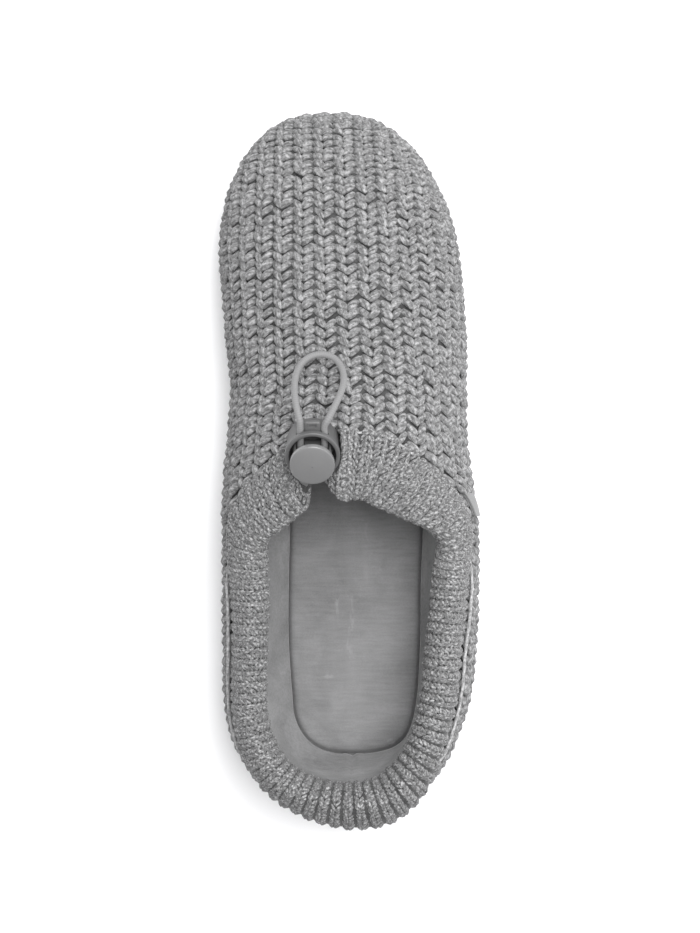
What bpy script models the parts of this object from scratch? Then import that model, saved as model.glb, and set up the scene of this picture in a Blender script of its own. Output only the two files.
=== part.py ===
"""Knitted house slipper, right foot, built piece by piece in Blender.

The toe points along +Y, the outer (little toe) side is +X and the floor is z = 0.
All sizes are in metres. The last is described by stations along the sole:
share 0 is the heel end of the feather line and share 1 its toe end.
"""
from math import cos, pi, radians, sin

import bmesh
import bpy
import numpy as np
from mathutils import Matrix, Vector

MM = 0.001

# Driving dimensions of the last and the sole
FEATHER_LENGTH = 272.5 * MM  # where upper meets sole, heel end to toe end
HEEL_END_Y = -134.0 * MM
BELLY_HALF_WIDTH = 48.0 * MM  # half the width of the upper at the ball
SOLE_HALF_WIDTH = 46.0 * MM  # half the width of the feather line at the ball
INSTEP_HEIGHT = 88.0 * MM  # ridge of the upper at the throat, above the floor
SOLE_HEIGHT = 17.0 * MM  # side wall of the sole under the heel
SOLE_WELT = 1.2 * MM  # how far the sole stands proud of the feather line
SOLE_SPRING = 8.5 * MM  # how far the toe end of the sole is lifted
BELLY_RISE = 14.0 * MM  # from the feather line up to the widest line
TOE_ROUND = 62.0 * MM  # length over which the plan outline rounds off at the toe
HEEL_ROUND = 54.0 * MM
TOE_DROP = 42.0 * MM  # length over which the ridge comes down at the toe
HEEL_DROP = 26.0 * MM
TOE_BULGE = 3.5 * MM  # how far the toe swells over the sole
HEEL_BULGE = 6.0 * MM  # how far the heel stands out behind the sole
ROUND_POWER = 2.2
HEEL_DROP_POWER = 2.4

# Walls and clearances
KNIT_WALL = 3.0 * MM
FIT_GAP = 0.3 * MM
INSOLE_THICK = 7.0 * MM

# Padded rolled cuff: how far it rises from the seam and reaches inward
CUFF_RISE = 26.0 * MM
CUFF_REACH = 14.0 * MM
CUFF_SWELL = 2.4 * MM  # how far the outer face swells past the seam
CUFF_GAP_INNER_X = -25.2 * MM  # inner-side end of the cuff at the throat
CUFF_GAP_OUTER_X = -1.6 * MM  # outer-side end of the cuff at the throat

# Cord lock: a cup with a pressed button, both cords pass through it
# centre of the cup's mouth
LOCK_CENTRE = Vector((-12.9 * MM, 3.6 * MM, INSTEP_HEIGHT + 5.5 * MM))
LOCK_TILT = radians(34.0)  # the button leans back, towards the heel
LOCK_RADIUS = 10.3 * MM
LOCK_WALL = 1.6 * MM
LOCK_RIM = 2.2 * MM
LOCK_RIM_STEP = 0.6 * MM
LOCK_BEVEL = 0.5 * MM
BUTTON_RADIUS = 8.3 * MM
BUTTON_CAP = 3.4 * MM
BUTTON_EDGE = 1.2 * MM  # how far the button's domed top falls to its edge
BUTTON_TRAVEL = 3.3 * MM
STEM_WIDTH = 14.0 * MM
STEM_DEPTH = 6.0 * MM
STEM_BAR = 1.5 * MM  # bar under each cord, which grips it when the button is let go
CORD_DIAMETER = 2.5 * MM
CORD_SPREAD = 4.5 * MM  # each cord's distance from the lock's middle
CORD_LEVEL = -3.6 * MM  # cord axis below the cup's mouth
BAIL_SIZE = Vector((5.8, 4.2, 2.0)) * MM
BAIL_HOLE = Vector((3.4, 1.7, 4.0)) * MM

# Small folded side tab, sewn in where cuff and upper meet
TAB_WIDTH = 9.0 * MM
TAB_DROP = 10.0 * MM
TAB_THICK = 1.2 * MM
TAB_Y = -15.0 * MM

# Tread of the sole
GROOVE_WIDTH = 3.2 * MM
GROOVE_PITCH = 9.0 * MM
GROOVE_DEPTH = 1.8 * MM
GROOVE_MARGIN = 8.0 * MM

# share: station along the feather line; belly, sole: half widths as shares of the
# ball's; shift, sole_shift: middle line, in shares of BELLY_HALF_WIDTH; tilt: how far the
# ridge leans sideways, in the same shares; top: ridge in shares of INSTEP_HEIGHT;
# full: power of the arch, 2 is an ellipse
LAST = {
    "share":      (0.00, 0.05, 0.10, 0.20, 0.30, 0.40, 0.45, 0.50, 0.55, 0.60, 0.70, 0.80, 0.90, 1.00),
    "belly":      (0.965, 0.985, 1.00, 1.015, 1.035, 1.035, 1.025, 1.01, 0.99, 0.98, 1.005, 1.005, 0.99, 0.98),
    "sole":       (0.86, 0.865, 0.87, 0.885, 0.89, 0.895, 0.905, 0.925, 0.945, 0.97, 1.00, 1.00, 0.99, 0.98),
    "shift":      (0.06, -0.01, -0.015, 0.02, 0.03, 0.03, 0.01, 0.00, 0.00, 0.01, -0.02, -0.065, -0.11, -0.14),
    "sole_shift": (0.07, 0.02, 0.01, 0.02, 0.04, 0.05, 0.04, 0.02, 0.005, 0.00, -0.03, -0.07, -0.11, -0.14),
    "tilt":       (-0.02, -0.04, -0.05, -0.07, -0.03, -0.02, 0.00, 0.00, 0.00, 0.00, 0.00, 0.00, 0.00, 0.00),
    "top":        (0.82, 0.82, 0.82, 0.82, 0.83, 0.90, 0.965, 1.00, 0.985, 0.925, 0.82, 0.725, 0.65, 0.60),
    "full":       (2.2, 2.2, 2.2, 2.2, 2.3, 2.8, 2.4, 2.15, 2.2, 2.2, 2.2, 2.2, 2.2, 2.2),
}

# Side profile of the sole: tread line and top edge, in shares of SOLE_HEIGHT, plus
# the lift of the toe in shares of SOLE_SPRING
SOLE_PROFILE = {
    "share":  (0.00, 0.03, 0.07, 0.28, 0.38, 0.47, 0.78, 0.86, 0.93, 1.00),
    "tread":  (0.13, 0.03, 0.00, 0.00, 0.11, 0.00, 0.00, 0.00, 0.00, 0.00),
    "edge":   (1.10, 1.07, 1.04, 0.97, 0.92, 0.87, 0.83, 0.81, 0.80, 0.80),
    "spring": (0.00, 0.00, 0.00, 0.00, 0.00, 0.00, 0.00, 0.14, 0.47, 1.00),
}

# Side wall of the sole, from tread to top: height share and inset
SOLE_WALL = {
    "height": (0.00, 0.14, 0.28, 0.52, 0.56, 0.68, 0.72, 0.92, 1.00),
    "inset":  (3.0, 0.7, 0.0, 0.0, 0.9, 0.9, 0.0, 0.0, 0.7),
}

# Footbed, from its underside up over the raised edge to the dished middle: how far in
# from its outline, in millimetres, and its height as a share of INSOLE_THICK
INSOLE_SECTION = ((0.0, 0.00), (0.0, 0.75), (1.2, 1.00), (4.0, 0.95), (12.0, 0.72))

# Line where upper and cuff meet, seen from the side: y and height, both as shares
SEAM = {
    "y":      (-0.60, -0.38, -0.13, -0.09, -0.06, -0.03, -0.004, 0.023, 0.053),
    "height": (0.58, 0.57, 0.57, 0.59, 0.64, 0.735, 0.835, 0.915, 0.962),
}

# Section of the cuff from the seam up, over, down inside and back over the upper's edge:
# rise as a share of CUFF_RISE, across as a share of CUFF_SWELL outward or CUFF_REACH inward
CUFF_SECTION = (
    (0.00, 0.00), (0.14, 0.55), (0.38, 1.00), (0.62, 0.60), (0.84, -0.12), (0.96, -0.38),
    (0.93, -0.68), (0.76, -0.92), (0.45, -1.00), (0.12, -1.00), (-0.12, -0.88), (-0.12, -0.55),
    (0.00, -0.32),
)

# The cuff along its way round, from the outer end at the throat over the heel to the
# inner end: shares of rise, reach and swell, how far it leans inward from upright
# towards lying flat, and how far its top edge is drawn back along the way
CUFF_WAY = {
    "share": (0.00, 0.06, 0.10, 0.14, 0.18, 0.24, 0.40, 0.50, 0.60, 0.76, 0.84, 0.90, 0.95, 1.00),
    "rise":  (1.05, 1.02, 0.90, 0.80, 0.85, 1.00, 1.00, 1.00, 1.00, 1.00, 0.90, 0.85, 0.90, 0.90),
    "reach": (0.90, 0.95, 0.95, 0.85, 0.90, 1.00, 1.00, 1.00, 0.95, 0.95, 1.00, 0.95, 0.90, 0.80),
    "swell": (0.70, 1.00, 1.00, 1.00, 1.00, 1.00, 1.60, 2.40, 1.60, 0.80, 1.00, 1.00, 1.00, 0.60),
    "lean":  (0.88, 0.80, 0.66, 0.40, 0.16, 0.08, 0.06, 0.02, 0.02, 0.07, 0.12, 0.24, 0.55, 0.75),
    "skew":  (0.00, 0.00, 0.00, 0.00, 0.00, 0.00, 0.00, 0.00, 0.00, 0.00, 0.00, 0.00, -0.05, -0.30),
}

# Drawcord loop, chosen by hand: x, y and the height over INSTEP_HEIGHT of the cord's
# middle line, in millimetres
CORD_LOOP = (
    (-17.6, 17.2, 9.9), (-18.9, 22.6, 8.6), (-19.6, 28.4, 5.0), (-19.1, 34.0, 0.6),
    (-17.0, 38.6, -3.1), (-13.3, 41.4, -5.0), (-9.5, 42.0, -5.3), (-5.5, 40.9, -4.8),
    (-2.6, 37.8, -2.8), (-1.3, 32.9, 1.0), (-2.3, 27.7, 5.3), (-4.6, 22.4, 8.6),
    (-7.2, 17.2, 9.9),
)
CORD_STRAIGHT = 1.5 * MM  # it stays straight this far outside the cup
# Where the cord meets the cuff's two ends, as rows like those of CUFF_SECTION
CORD_ENTRY_INNER = (0.62, -0.50)
CORD_ENTRY_OUTER = (0.72, -0.50)
CORD_END_RUN = 3.6 * MM  # straight run before each of its ends
CORD_END_GAP = 0.7 * MM

# Mesh fineness
STATIONS = 39
ARCH_STEPS = 24
TUCK_STEPS = 3
CUFF_STATIONS = 62
CUT_STEPS = 84
SEAM_STEPS = 240
SEAM_SMOOTHING = 24  # passes that round the corners of the throat
BUTTON_STEPS = 6
TAB_ROWS = 5
TAB_COLUMNS = 4
CORD_POINT_PITCH = 3.0 * MM

COLOURS = {
    "knit": (0.33, 0.33, 0.335),
    "cuff": (0.32, 0.32, 0.325),
    "insole": (0.27, 0.27, 0.275),
    "sole": (0.20, 0.20, 0.205),
    "lock": (0.30, 0.30, 0.305),
    "cord": (0.42, 0.42, 0.425),
    "tab": (0.40, 0.40, 0.405),
}


def table_value(table, column, at, key="share"):
    """Smooth value of a table's column: a cubic that never overshoots its rows."""
    xs = np.asarray(table[key], float)
    ys = np.asarray(table[column], float)
    width = np.diff(xs)
    slope = np.diff(ys) / width
    tangent = np.zeros_like(ys)
    same_way = slope[:-1] * slope[1:] > 0
    weight_a = 2 * width[1:] + width[:-1]
    weight_b = width[1:] + 2 * width[:-1]
    inner = np.zeros_like(slope[:-1])
    inner[same_way] = ((weight_a + weight_b) / (weight_a / np.where(same_way, slope[:-1], 1)
                       + weight_b / np.where(same_way, slope[1:], 1)))[same_way]
    tangent[1:-1] = inner
    at = np.clip(np.asarray(at, float), xs[0], xs[-1])
    i = np.clip(np.searchsorted(xs, at, side="right") - 1, 0, len(width) - 1)
    t = (at - xs[i]) / width[i]
    h = width[i]
    return ((2 * t**3 - 3 * t**2 + 1) * ys[i] + (t**3 - 2 * t**2 + t) * h * tangent[i]
            + (-2 * t**3 + 3 * t**2) * ys[i + 1] + (t**3 - t**2) * h * tangent[i + 1])


def end_round(share, toe_length, heel_length, toe_power, heel_power):
    """1 along the foot, falling to 0 in a blunt curve at each end."""
    toe = np.clip(1 - (1 - share) * FEATHER_LENGTH / toe_length, 0, 1)
    heel = np.clip(1 - share * FEATHER_LENGTH / heel_length, 0, 1)
    return ((1 - toe**toe_power) ** (1 / toe_power)) * ((1 - heel**heel_power) ** (1 / heel_power))


def station_shares(count):
    """Stations along the foot, close together where the two ends round off."""
    return 0.5 - 0.5 * np.cos(np.linspace(0, pi, count + 1))


def feather_height(share):
    edge = table_value(SOLE_PROFILE, "edge", share) * SOLE_HEIGHT
    return edge + table_value(SOLE_PROFILE, "spring", share) * SOLE_SPRING + FIT_GAP


def upper_point(share, angle):
    """Point of the upper's outer face. angle runs from -1 (feather line, inner side)
    through 0 (belly), pi / 2 (ridge) and pi (belly) to pi + 1 (feather, outer side)."""
    share, angle = np.broadcast_arrays(np.asarray(share, float), np.asarray(angle, float))
    plan = end_round(share, TOE_ROUND, HEEL_ROUND, ROUND_POWER, ROUND_POWER)
    drop = end_round(share, TOE_DROP, HEEL_DROP, ROUND_POWER, HEEL_DROP_POWER)
    feather = feather_height(share)
    middle = table_value(LAST, "shift", share) * BELLY_HALF_WIDTH
    sole_middle = table_value(LAST, "sole_shift", share) * BELLY_HALF_WIDTH
    belly = table_value(LAST, "belly", share) * BELLY_HALF_WIDTH * plan
    sole = table_value(LAST, "sole", share) * SOLE_HALF_WIDTH * plan
    rise = BELLY_RISE * drop
    arch = (table_value(LAST, "top", share) * INSTEP_HEIGHT - feather - BELLY_RISE) * drop
    power = 2 / table_value(LAST, "full", share)
    inside = np.clip(angle, 0, pi)
    side = -np.sign(np.cos(inside)) * np.abs(np.cos(inside)) ** power
    up = np.abs(np.sin(inside)) ** power
    below = np.clip(np.maximum(-angle, angle - pi), 0, 1)
    tilt = table_value(LAST, "tilt", share) * BELLY_HALF_WIDTH
    x = middle + side * belly + tilt * up
    x = x + below**2 * (sole_middle + side * sole - middle - side * belly)
    height = np.where(below > 0, rise * (1 - below), rise + arch * up)
    swell = np.sin(np.clip(height / BELLY_RISE, 0, 1) * pi / 2)
    near_toe = np.clip(1 - (1 - share) * FEATHER_LENGTH / TOE_ROUND, 0, 1) ** 2
    near_heel = np.clip(1 - share * FEATHER_LENGTH / HEEL_ROUND, 0, 1) ** 2
    y = HEEL_END_Y + share * FEATHER_LENGTH
    y = y + swell * (near_toe * TOE_BULGE - near_heel * HEEL_BULGE)
    return np.stack([x, y, feather + height], -1)


def seam_height(y):
    return table_value(SEAM, "height", y / FEATHER_LENGTH, key="y") * INSTEP_HEIGHT


def feather_ring(offset, count=STATIONS):
    """The feather line as a closed ring, moved outward: heel end, outer side, toe end,
    inner side. Returns plan points and each one's station share."""
    shares = station_shares(count)
    outer = upper_point(shares, pi + 1)[:, :2]
    inner = upper_point(shares[1:-1], -1)[::-1, :2]
    ring = np.concatenate([outer, inner])
    ring_share = np.concatenate([shares, shares[1:-1][::-1]])
    along = np.roll(ring, -1, 0) - np.roll(ring, 1, 0)
    out = np.stack([along[:, 1], -along[:, 0]], 1)
    out /= np.linalg.norm(out, axis=1)[:, None]
    return ring + out * offset, ring_share


def material(name, colour, roughness):
    made = bpy.data.materials.new(name)
    made.use_nodes = True
    shader = made.node_tree.nodes["Principled BSDF"]
    shader.inputs["Base Color"].default_value = (*colour, 1)
    shader.inputs["Roughness"].default_value = roughness
    shader.inputs["Metallic"].default_value = 0
    return made


def add_object(name, mesh, look, collection):
    made = bpy.data.objects.new(name, mesh)
    collection.objects.link(made)
    if look:
        made.data.materials.append(look)
    return made


def mesh_from(name, points, faces):
    """A mesh with its faces turned outward."""
    mesh = bpy.data.meshes.new(name)
    mesh.from_pydata([tuple(p) for p in points], [], faces)
    work = bmesh.new()
    work.from_mesh(mesh)
    bmesh.ops.remove_doubles(work, verts=work.verts, dist=0.00001)
    bmesh.ops.recalc_face_normals(work, faces=work.faces)
    work.to_mesh(mesh)
    work.free()
    return mesh


def ring_faces(count, first, second):
    """Quads between two rings of vertices that start at these indices."""
    return [(first + i, first + (i + 1) % count, second + (i + 1) % count, second + i)
            for i in range(count)]


def cap_faces(count, first):
    """Strips across a ring whose vertex i faces vertex count - i."""
    half = count // 2
    faces = [(first, first + 1, first + count - 1)]
    faces += [(first + i, first + i + 1, first + count - i - 1, first + count - i)
              for i in range(1, half - 1)]
    faces.append((first + half - 1, first + half, first + half + 1))
    return faces


def stacked_rings(name, rings):
    """Closed solid from rings of equal count, the first and last one capped."""
    count = len(rings[0])
    points = np.concatenate(rings)
    faces = []
    for level in range(len(rings) - 1):
        faces += ring_faces(count, level * count, (level + 1) * count)
    faces += cap_faces(count, 0)
    faces += cap_faces(count, (len(rings) - 1) * count)
    return mesh_from(name, points, faces)


def sole_levels(share):
    lift = table_value(SOLE_PROFILE, "spring", share) * SOLE_SPRING
    tread = table_value(SOLE_PROFILE, "tread", share) * SOLE_HEIGHT + lift
    return tread, feather_height(share) - FIT_GAP


def make_outsole(collection, cutters):
    rings = []
    for level, inset in zip(SOLE_WALL["height"], SOLE_WALL["inset"]):
        plan, share = feather_ring(SOLE_WELT - inset * MM)
        tread, edge = sole_levels(share)
        rings.append(np.column_stack([plan, tread + level * (edge - tread)]))
    sole = add_object("outsole", stacked_rings("outsole", rings),
                      material("rubber", COLOURS["sole"], 0.75), collection)
    grooves = bpy.data.meshes.new("sole_grooves")
    work = bmesh.new()
    tread_rows = [(SOLE_PROFILE["share"][2], SOLE_PROFILE["share"][3]),
                  (SOLE_PROFILE["share"][5], SOLE_PROFILE["share"][6])]
    for start, end in tread_rows:
        first = HEEL_END_Y + start * FEATHER_LENGTH + GROOVE_PITCH
        last = HEEL_END_Y + end * FEATHER_LENGTH - GROOVE_WIDTH
        for y in np.arange(first, last, GROOVE_PITCH):
            share = (y - HEEL_END_Y) / FEATHER_LENGTH
            left, right = (upper_point(share, a)[0] for a in (-1, pi + 1))
            length = right - left - 2 * GROOVE_MARGIN
            place = Matrix.Translation((float(left + right) / 2, float(y), 0))
            size = Matrix.Diagonal((float(length), GROOVE_WIDTH, 2 * GROOVE_DEPTH, 1))
            bmesh.ops.create_cube(work, size=1, matrix=place @ size)
    work.to_mesh(grooves)
    work.free()
    cutter = add_cutter("sole_grooves", grooves, cutters)
    cut(sole, cutter)
    return sole


def make_insole(collection):
    rings = []
    for inset, height in INSOLE_SECTION:
        plan, share = feather_ring(-KNIT_WALL - FIT_GAP - inset * MM)
        rings.append(np.column_stack([plan, feather_height(share) + height * INSOLE_THICK]))
    return add_object("insole", stacked_rings("insole", rings),
                      material("footbed", COLOURS["insole"], 0.9), collection)


def add_cutter(name, mesh, cutters):
    made = bpy.data.objects.new(name, mesh)
    cutters.objects.link(made)
    made.hide_render = True
    made.display_type = "WIRE"
    return made


def cut(target, cutter):
    boolean = target.modifiers.new("cut_" + cutter.name, "BOOLEAN")
    boolean.operation = "DIFFERENCE"
    boolean.object = cutter


def make_upper(collection, cutters):
    """Outer face lofted from stations, given its wall, then cut open along the seam."""
    shares = station_shares(STATIONS)
    tuck = np.linspace(1, 0, TUCK_STEPS, endpoint=False)
    angles = np.concatenate([-tuck, np.linspace(0, pi, ARCH_STEPS + 1), pi + tuck[::-1]])
    count = len(angles)
    points = [upper_point(shares[0], -1)]
    for share in shares[1:-1]:
        points += list(upper_point(share, angles))
    points.append(upper_point(shares[-1], -1))
    last = len(points) - 1
    faces = []
    for j in range(count - 1):
        faces.append((0, 1 + j, 2 + j))
        for i in range(STATIONS - 2):
            a = 1 + i * count + j
            faces.append((a, a + count, a + count + 1, a + 1))
        faces.append((last - count + j, last, last - count + j + 1))
    upper = add_object("upper", mesh_from("upper", points, faces),
                       material("rib_knit", COLOURS["knit"], 0.95), collection)
    wall = upper.modifiers.new("wall", "SOLIDIFY")
    wall.thickness = KNIT_WALL
    wall.offset = -1
    wall.use_even_offset = True
    wall.use_quality_normals = True
    loop = even_ring(seam_loop(), CUT_STEPS)
    seam = upper_point(loop[:, 0], loop[:, 1])
    across = 2 * KNIT_WALL * surface_normal(loop[:, 0], loop[:, 1])
    lid = seam + across
    lid[:, 2] = 2 * INSTEP_HEIGHT
    opening = stacked_rings("throat_opening", [seam - across, seam + across, lid])
    cut(upper, add_cutter("throat_opening", opening, cutters))
    return upper


def seam_loop(samples=400):
    """The seam as stations and angles on the upper: from the middle of the throat along
    the outer side to the heel, back along the inner side and across the throat."""
    front = (SEAM["y"][-1] * FEATHER_LENGTH - HEEL_END_Y) / FEATHER_LENGTH
    shares = station_shares(SEAM_STEPS)
    shares = np.append(shares[shares < front], front)
    found = {}
    for side, belly in (("outer", pi), ("inner", 0)):
        rows = []
        angles = np.linspace(pi / 2, belly, samples)
        for share in shares[::-1]:
            points = upper_point(share, angles)
            over = points[:, 2] - seam_height(points[:, 1])
            if over[0] < 0:
                continue
            k = int(np.argmax(over < 0))
            t = over[k - 1] / (over[k - 1] - over[k])
            rows.append((share, angles[k - 1] + t * (angles[k] - angles[k - 1])))
        found[side] = rows
    outer, inner = found["outer"], found["inner"][::-1]
    across = [(front, a) for a in np.linspace(inner[-1][1], outer[0][1], ARCH_STEPS)]
    ring = np.array(outer + inner + across[1:-1])
    turn = len(outer) + len(inner)
    x = upper_point(ring[turn:, 0], ring[turn:, 1])[:, 0]
    ring = np.roll(ring, -turn - int(np.argmin(np.abs(x - LOCK_CENTRE.x))), axis=0)
    ring = even_ring(ring, SEAM_STEPS)
    for _ in range(SEAM_SMOOTHING):
        ring = (np.roll(ring, 1, 0) + 2 * ring + np.roll(ring, -1, 0)) / 4
    return ring


def even_ring(ring, steps):
    """A closed ring of stations and angles, spread evenly over the upper."""
    closed = np.vstack([ring, ring[:1]])
    return resampled(closed, upper_point(closed[:, 0], closed[:, 1]), steps + 1)[:-1]


def resampled(values, points, steps):
    """values spread evenly by the distance along points."""
    length = np.concatenate([[0], np.cumsum(np.linalg.norm(np.diff(points, axis=0), axis=1))])
    at = np.linspace(0, length[-1], steps)
    return np.column_stack([np.interp(at, length, column) for column in values.T])


def surface_normal(share, angle):
    """Outward normal of the upper's outer face."""
    step = 0.0005
    across = upper_point(share, angle + step) - upper_point(share, angle - step)
    along = upper_point(share + step, angle) - upper_point(share - step, angle)
    normal = np.cross(across, along)
    return normal / np.linalg.norm(normal, axis=-1)[..., None]


def cuff_way():
    """Seam points between the cuff's two ends, with the way's share and tangent."""
    loop = even_ring(seam_loop(), 600)
    points = upper_point(loop[:, 0], loop[:, 1])
    outer_end = np.argmax(points[:300, 0] > CUFF_GAP_OUTER_X)
    inner_end = len(points) - np.argmax(points[:300:-1, 0] < CUFF_GAP_INNER_X)
    loop = resampled(loop[outer_end:inner_end], points[outer_end:inner_end], CUFF_STATIONS)
    points = upper_point(loop[:, 0], loop[:, 1])
    tangent = np.gradient(points, axis=0)
    for _ in range(4):
        tangent[1:-1] = (tangent[:-2] + 2 * tangent[1:-1] + tangent[2:]) / 4
    tangent /= np.linalg.norm(tangent, axis=1)[:, None]
    return points, np.linspace(0, 1, len(points)), tangent


def cuff_point(base, share, tangent, rise, across):
    """Point of the cuff's outer sheet from a row of CUFF_SECTION."""
    lean = table_value(CUFF_WAY, "lean", share) * pi / 2
    out = np.cross((0, 0, 1), tangent)
    out /= np.linalg.norm(out)
    up = np.cross(tangent, out)
    along = up * cos(lean) - out * sin(lean)
    over = out * cos(lean) + up * sin(lean)
    tall = rise * table_value(CUFF_WAY, "rise", share) * CUFF_RISE
    width = ("swell", CUFF_SWELL) if across > 0 else ("reach", CUFF_REACH)
    deep = across * table_value(CUFF_WAY, width[0], share) * width[1]
    back = tangent * table_value(CUFF_WAY, "skew", share) * tall
    return base + along * (FIT_GAP * (rise >= 0) + tall) + over * deep + back


def make_cuff(collection):
    """A padded roll: its closed section swept along the seam."""
    stations = list(zip(*cuff_way()))
    verts = [cuff_point(*station, *row) for station in stations for row in CUFF_SECTION]
    n = len(CUFF_SECTION)
    faces = [tuple(range(n)), tuple(range(len(verts) - n, len(verts)))]
    for i in range(len(stations) - 1):
        faces += ring_faces(n, i * n, (i + 1) * n)
    return add_object("cuff", mesh_from("cuff", verts, faces),
                      material("cuff_knit", COLOURS["cuff"], 0.95), collection)


def lock_matrix():
    """Frame of the cord lock: local Z is the button's axis, local Y runs with the cords."""
    return Matrix.Translation(LOCK_CENTRE) @ Matrix.Rotation(LOCK_TILT, 4, "X")


def turned(name, profile, look, collection, steps=24):
    """A profile of (radius, height) pairs, outer side first, turned about local Z."""
    mesh = bpy.data.meshes.new(name)
    edges = [(i, i + 1) for i in range(len(profile) - 1)]
    mesh.from_pydata([(r, 0, z) for r, z in profile], edges, [])
    made = add_object(name, mesh, look, collection)
    screw = made.modifiers.new("turn", "SCREW")
    screw.axis = "Z"
    screw.steps = steps
    screw.render_steps = steps
    screw.use_merge_vertices = True
    screw.merge_threshold = 0.00002
    screw.use_normal_calculate = True
    return made


def box_mesh(name, boxes):
    """One mesh of separate boxes, each a centre and a size."""
    mesh = bpy.data.meshes.new(name)
    work = bmesh.new()
    for centre, size in boxes:
        place = Matrix.Translation(Vector(centre)) @ Matrix.Diagonal((*size, 1))
        bmesh.ops.create_cube(work, size=1, matrix=place)
    work.to_mesh(mesh)
    work.free()
    return mesh


def rod_mesh(name, radius, rods, sides=16):
    """One mesh of rods along local Y, each a centre and a length."""
    mesh = bpy.data.meshes.new(name)
    work = bmesh.new()
    for centre, length in rods:
        place = Matrix.Translation(Vector(centre)) @ Matrix.Rotation(pi / 2, 4, "X")
        bmesh.ops.create_cone(work, cap_ends=True, segments=sides, radius1=radius,
                              radius2=radius, depth=length, matrix=place)
    work.to_mesh(mesh)
    work.free()
    return mesh


def make_lock(collection, cutters):
    """Cup with its rim and bail, and the button with its slotted stem."""
    plastic = material("lock_plastic", COLOURS["lock"], 0.45)
    frame = bpy.data.objects.new("lock_frame", None)
    collection.objects.link(frame)
    frame.matrix_world = lock_matrix()

    hole = CORD_DIAMETER / 2 + FIT_GAP
    stem_end = CORD_LEVEL - hole - STEM_BAR
    floor = stem_end - BUTTON_TRAVEL - FIT_GAP
    barrel = LOCK_RADIUS - LOCK_RIM_STEP
    bore = LOCK_RADIUS - LOCK_WALL
    bevel = LOCK_BEVEL
    profile = [
        (0, floor), (bore - bevel, floor), (bore, floor + bevel), (bore, -bevel),
        (bore + bevel, 0), (LOCK_RADIUS - bevel, 0), (LOCK_RADIUS, -bevel),
        (LOCK_RADIUS, -LOCK_RIM), (barrel, -LOCK_RIM - LOCK_RIM_STEP),
        (barrel, floor - LOCK_WALL + bevel), (barrel - bevel, floor - LOCK_WALL),
        (0, floor - LOCK_WALL),
    ]
    cup = turned("lock_cup", profile, plastic, collection)
    cup.parent = frame
    bail_y = barrel + BAIL_SIZE.y / 2 - bevel
    bail = add_cutter("bail_block", box_mesh("bail_block", [
        ((0, bail_y, CORD_LEVEL), BAIL_SIZE)]), cutters)
    bail.parent = frame
    join = cup.modifiers.new("add_bail", "BOOLEAN")
    join.operation = "UNION"
    join.object = bail
    bail_hole = add_cutter("bail_hole", box_mesh("bail_hole", [
        ((0, bail_y + bevel, CORD_LEVEL), BAIL_HOLE)]), cutters)
    bail_hole.parent = frame
    cut(cup, bail_hole)
    through = 3 * LOCK_RADIUS
    holes = add_cutter("cord_holes", rod_mesh("cord_holes", hole, [
        ((-CORD_SPREAD, 0, CORD_LEVEL), through), ((CORD_SPREAD, 0, CORD_LEVEL), through)]),
        cutters)
    holes.parent = frame
    cut(cup, holes)

    under = BUTTON_TRAVEL + FIT_GAP
    button_profile = [
        (0, under), (BUTTON_RADIUS - bevel, under), (BUTTON_RADIUS, under + bevel),
    ]
    button_profile += [
        (BUTTON_RADIUS * sin(a), under + BUTTON_CAP - BUTTON_EDGE * (1 - cos(a)) ** 0.7)
        for a in np.linspace(pi / 2, 0, BUTTON_STEPS)
    ]
    button = turned("lock_button", button_profile, plastic, collection)
    button.parent = frame
    stem_top = under + bevel
    stem = add_cutter("button_stem", box_mesh("button_stem", [
        ((0, 0, (stem_top + stem_end) / 2), (STEM_WIDTH, STEM_DEPTH, stem_top - stem_end))]),
        cutters)
    stem.parent = frame
    join = button.modifiers.new("add_stem", "BOOLEAN")
    join.operation = "UNION"
    join.object = stem
    slot_low = CORD_LEVEL - hole
    slot_high = CORD_LEVEL + hole + BUTTON_TRAVEL
    slot_size = (2 * hole, 2 * STEM_DEPTH, slot_high - slot_low)
    slots = add_cutter("stem_slots", box_mesh("stem_slots", [
        ((side * CORD_SPREAD, 0, (slot_low + slot_high) / 2), slot_size) for side in (-1, 1)]),
        cutters)
    slots.parent = frame
    cut(button, slots)
    return cup, button


def smooth_route(knots, pitch):
    """Points at an even pitch on a smooth curve through the knots."""
    knots = np.array(knots, float)
    padded = np.vstack([2 * knots[0] - knots[1], knots, 2 * knots[-1] - knots[-2]])
    dense = []
    for p0, p1, p2, p3 in zip(padded, padded[1:], padded[2:], padded[3:]):
        for t in np.linspace(0, 1, 24, endpoint=False):
            dense.append(0.5 * (2 * p1 + (p2 - p0) * t + (2 * p0 - 5 * p1 + 4 * p2 - p3) * t**2
                                + (3 * p1 - p0 - 3 * p2 + p3) * t**3))
    dense.append(knots[-1])
    dense = np.array(dense)
    length = np.linalg.norm(np.diff(dense, axis=0), axis=1).sum()
    return resampled(dense, dense, int(round(length / pitch)) + 1)


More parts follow.
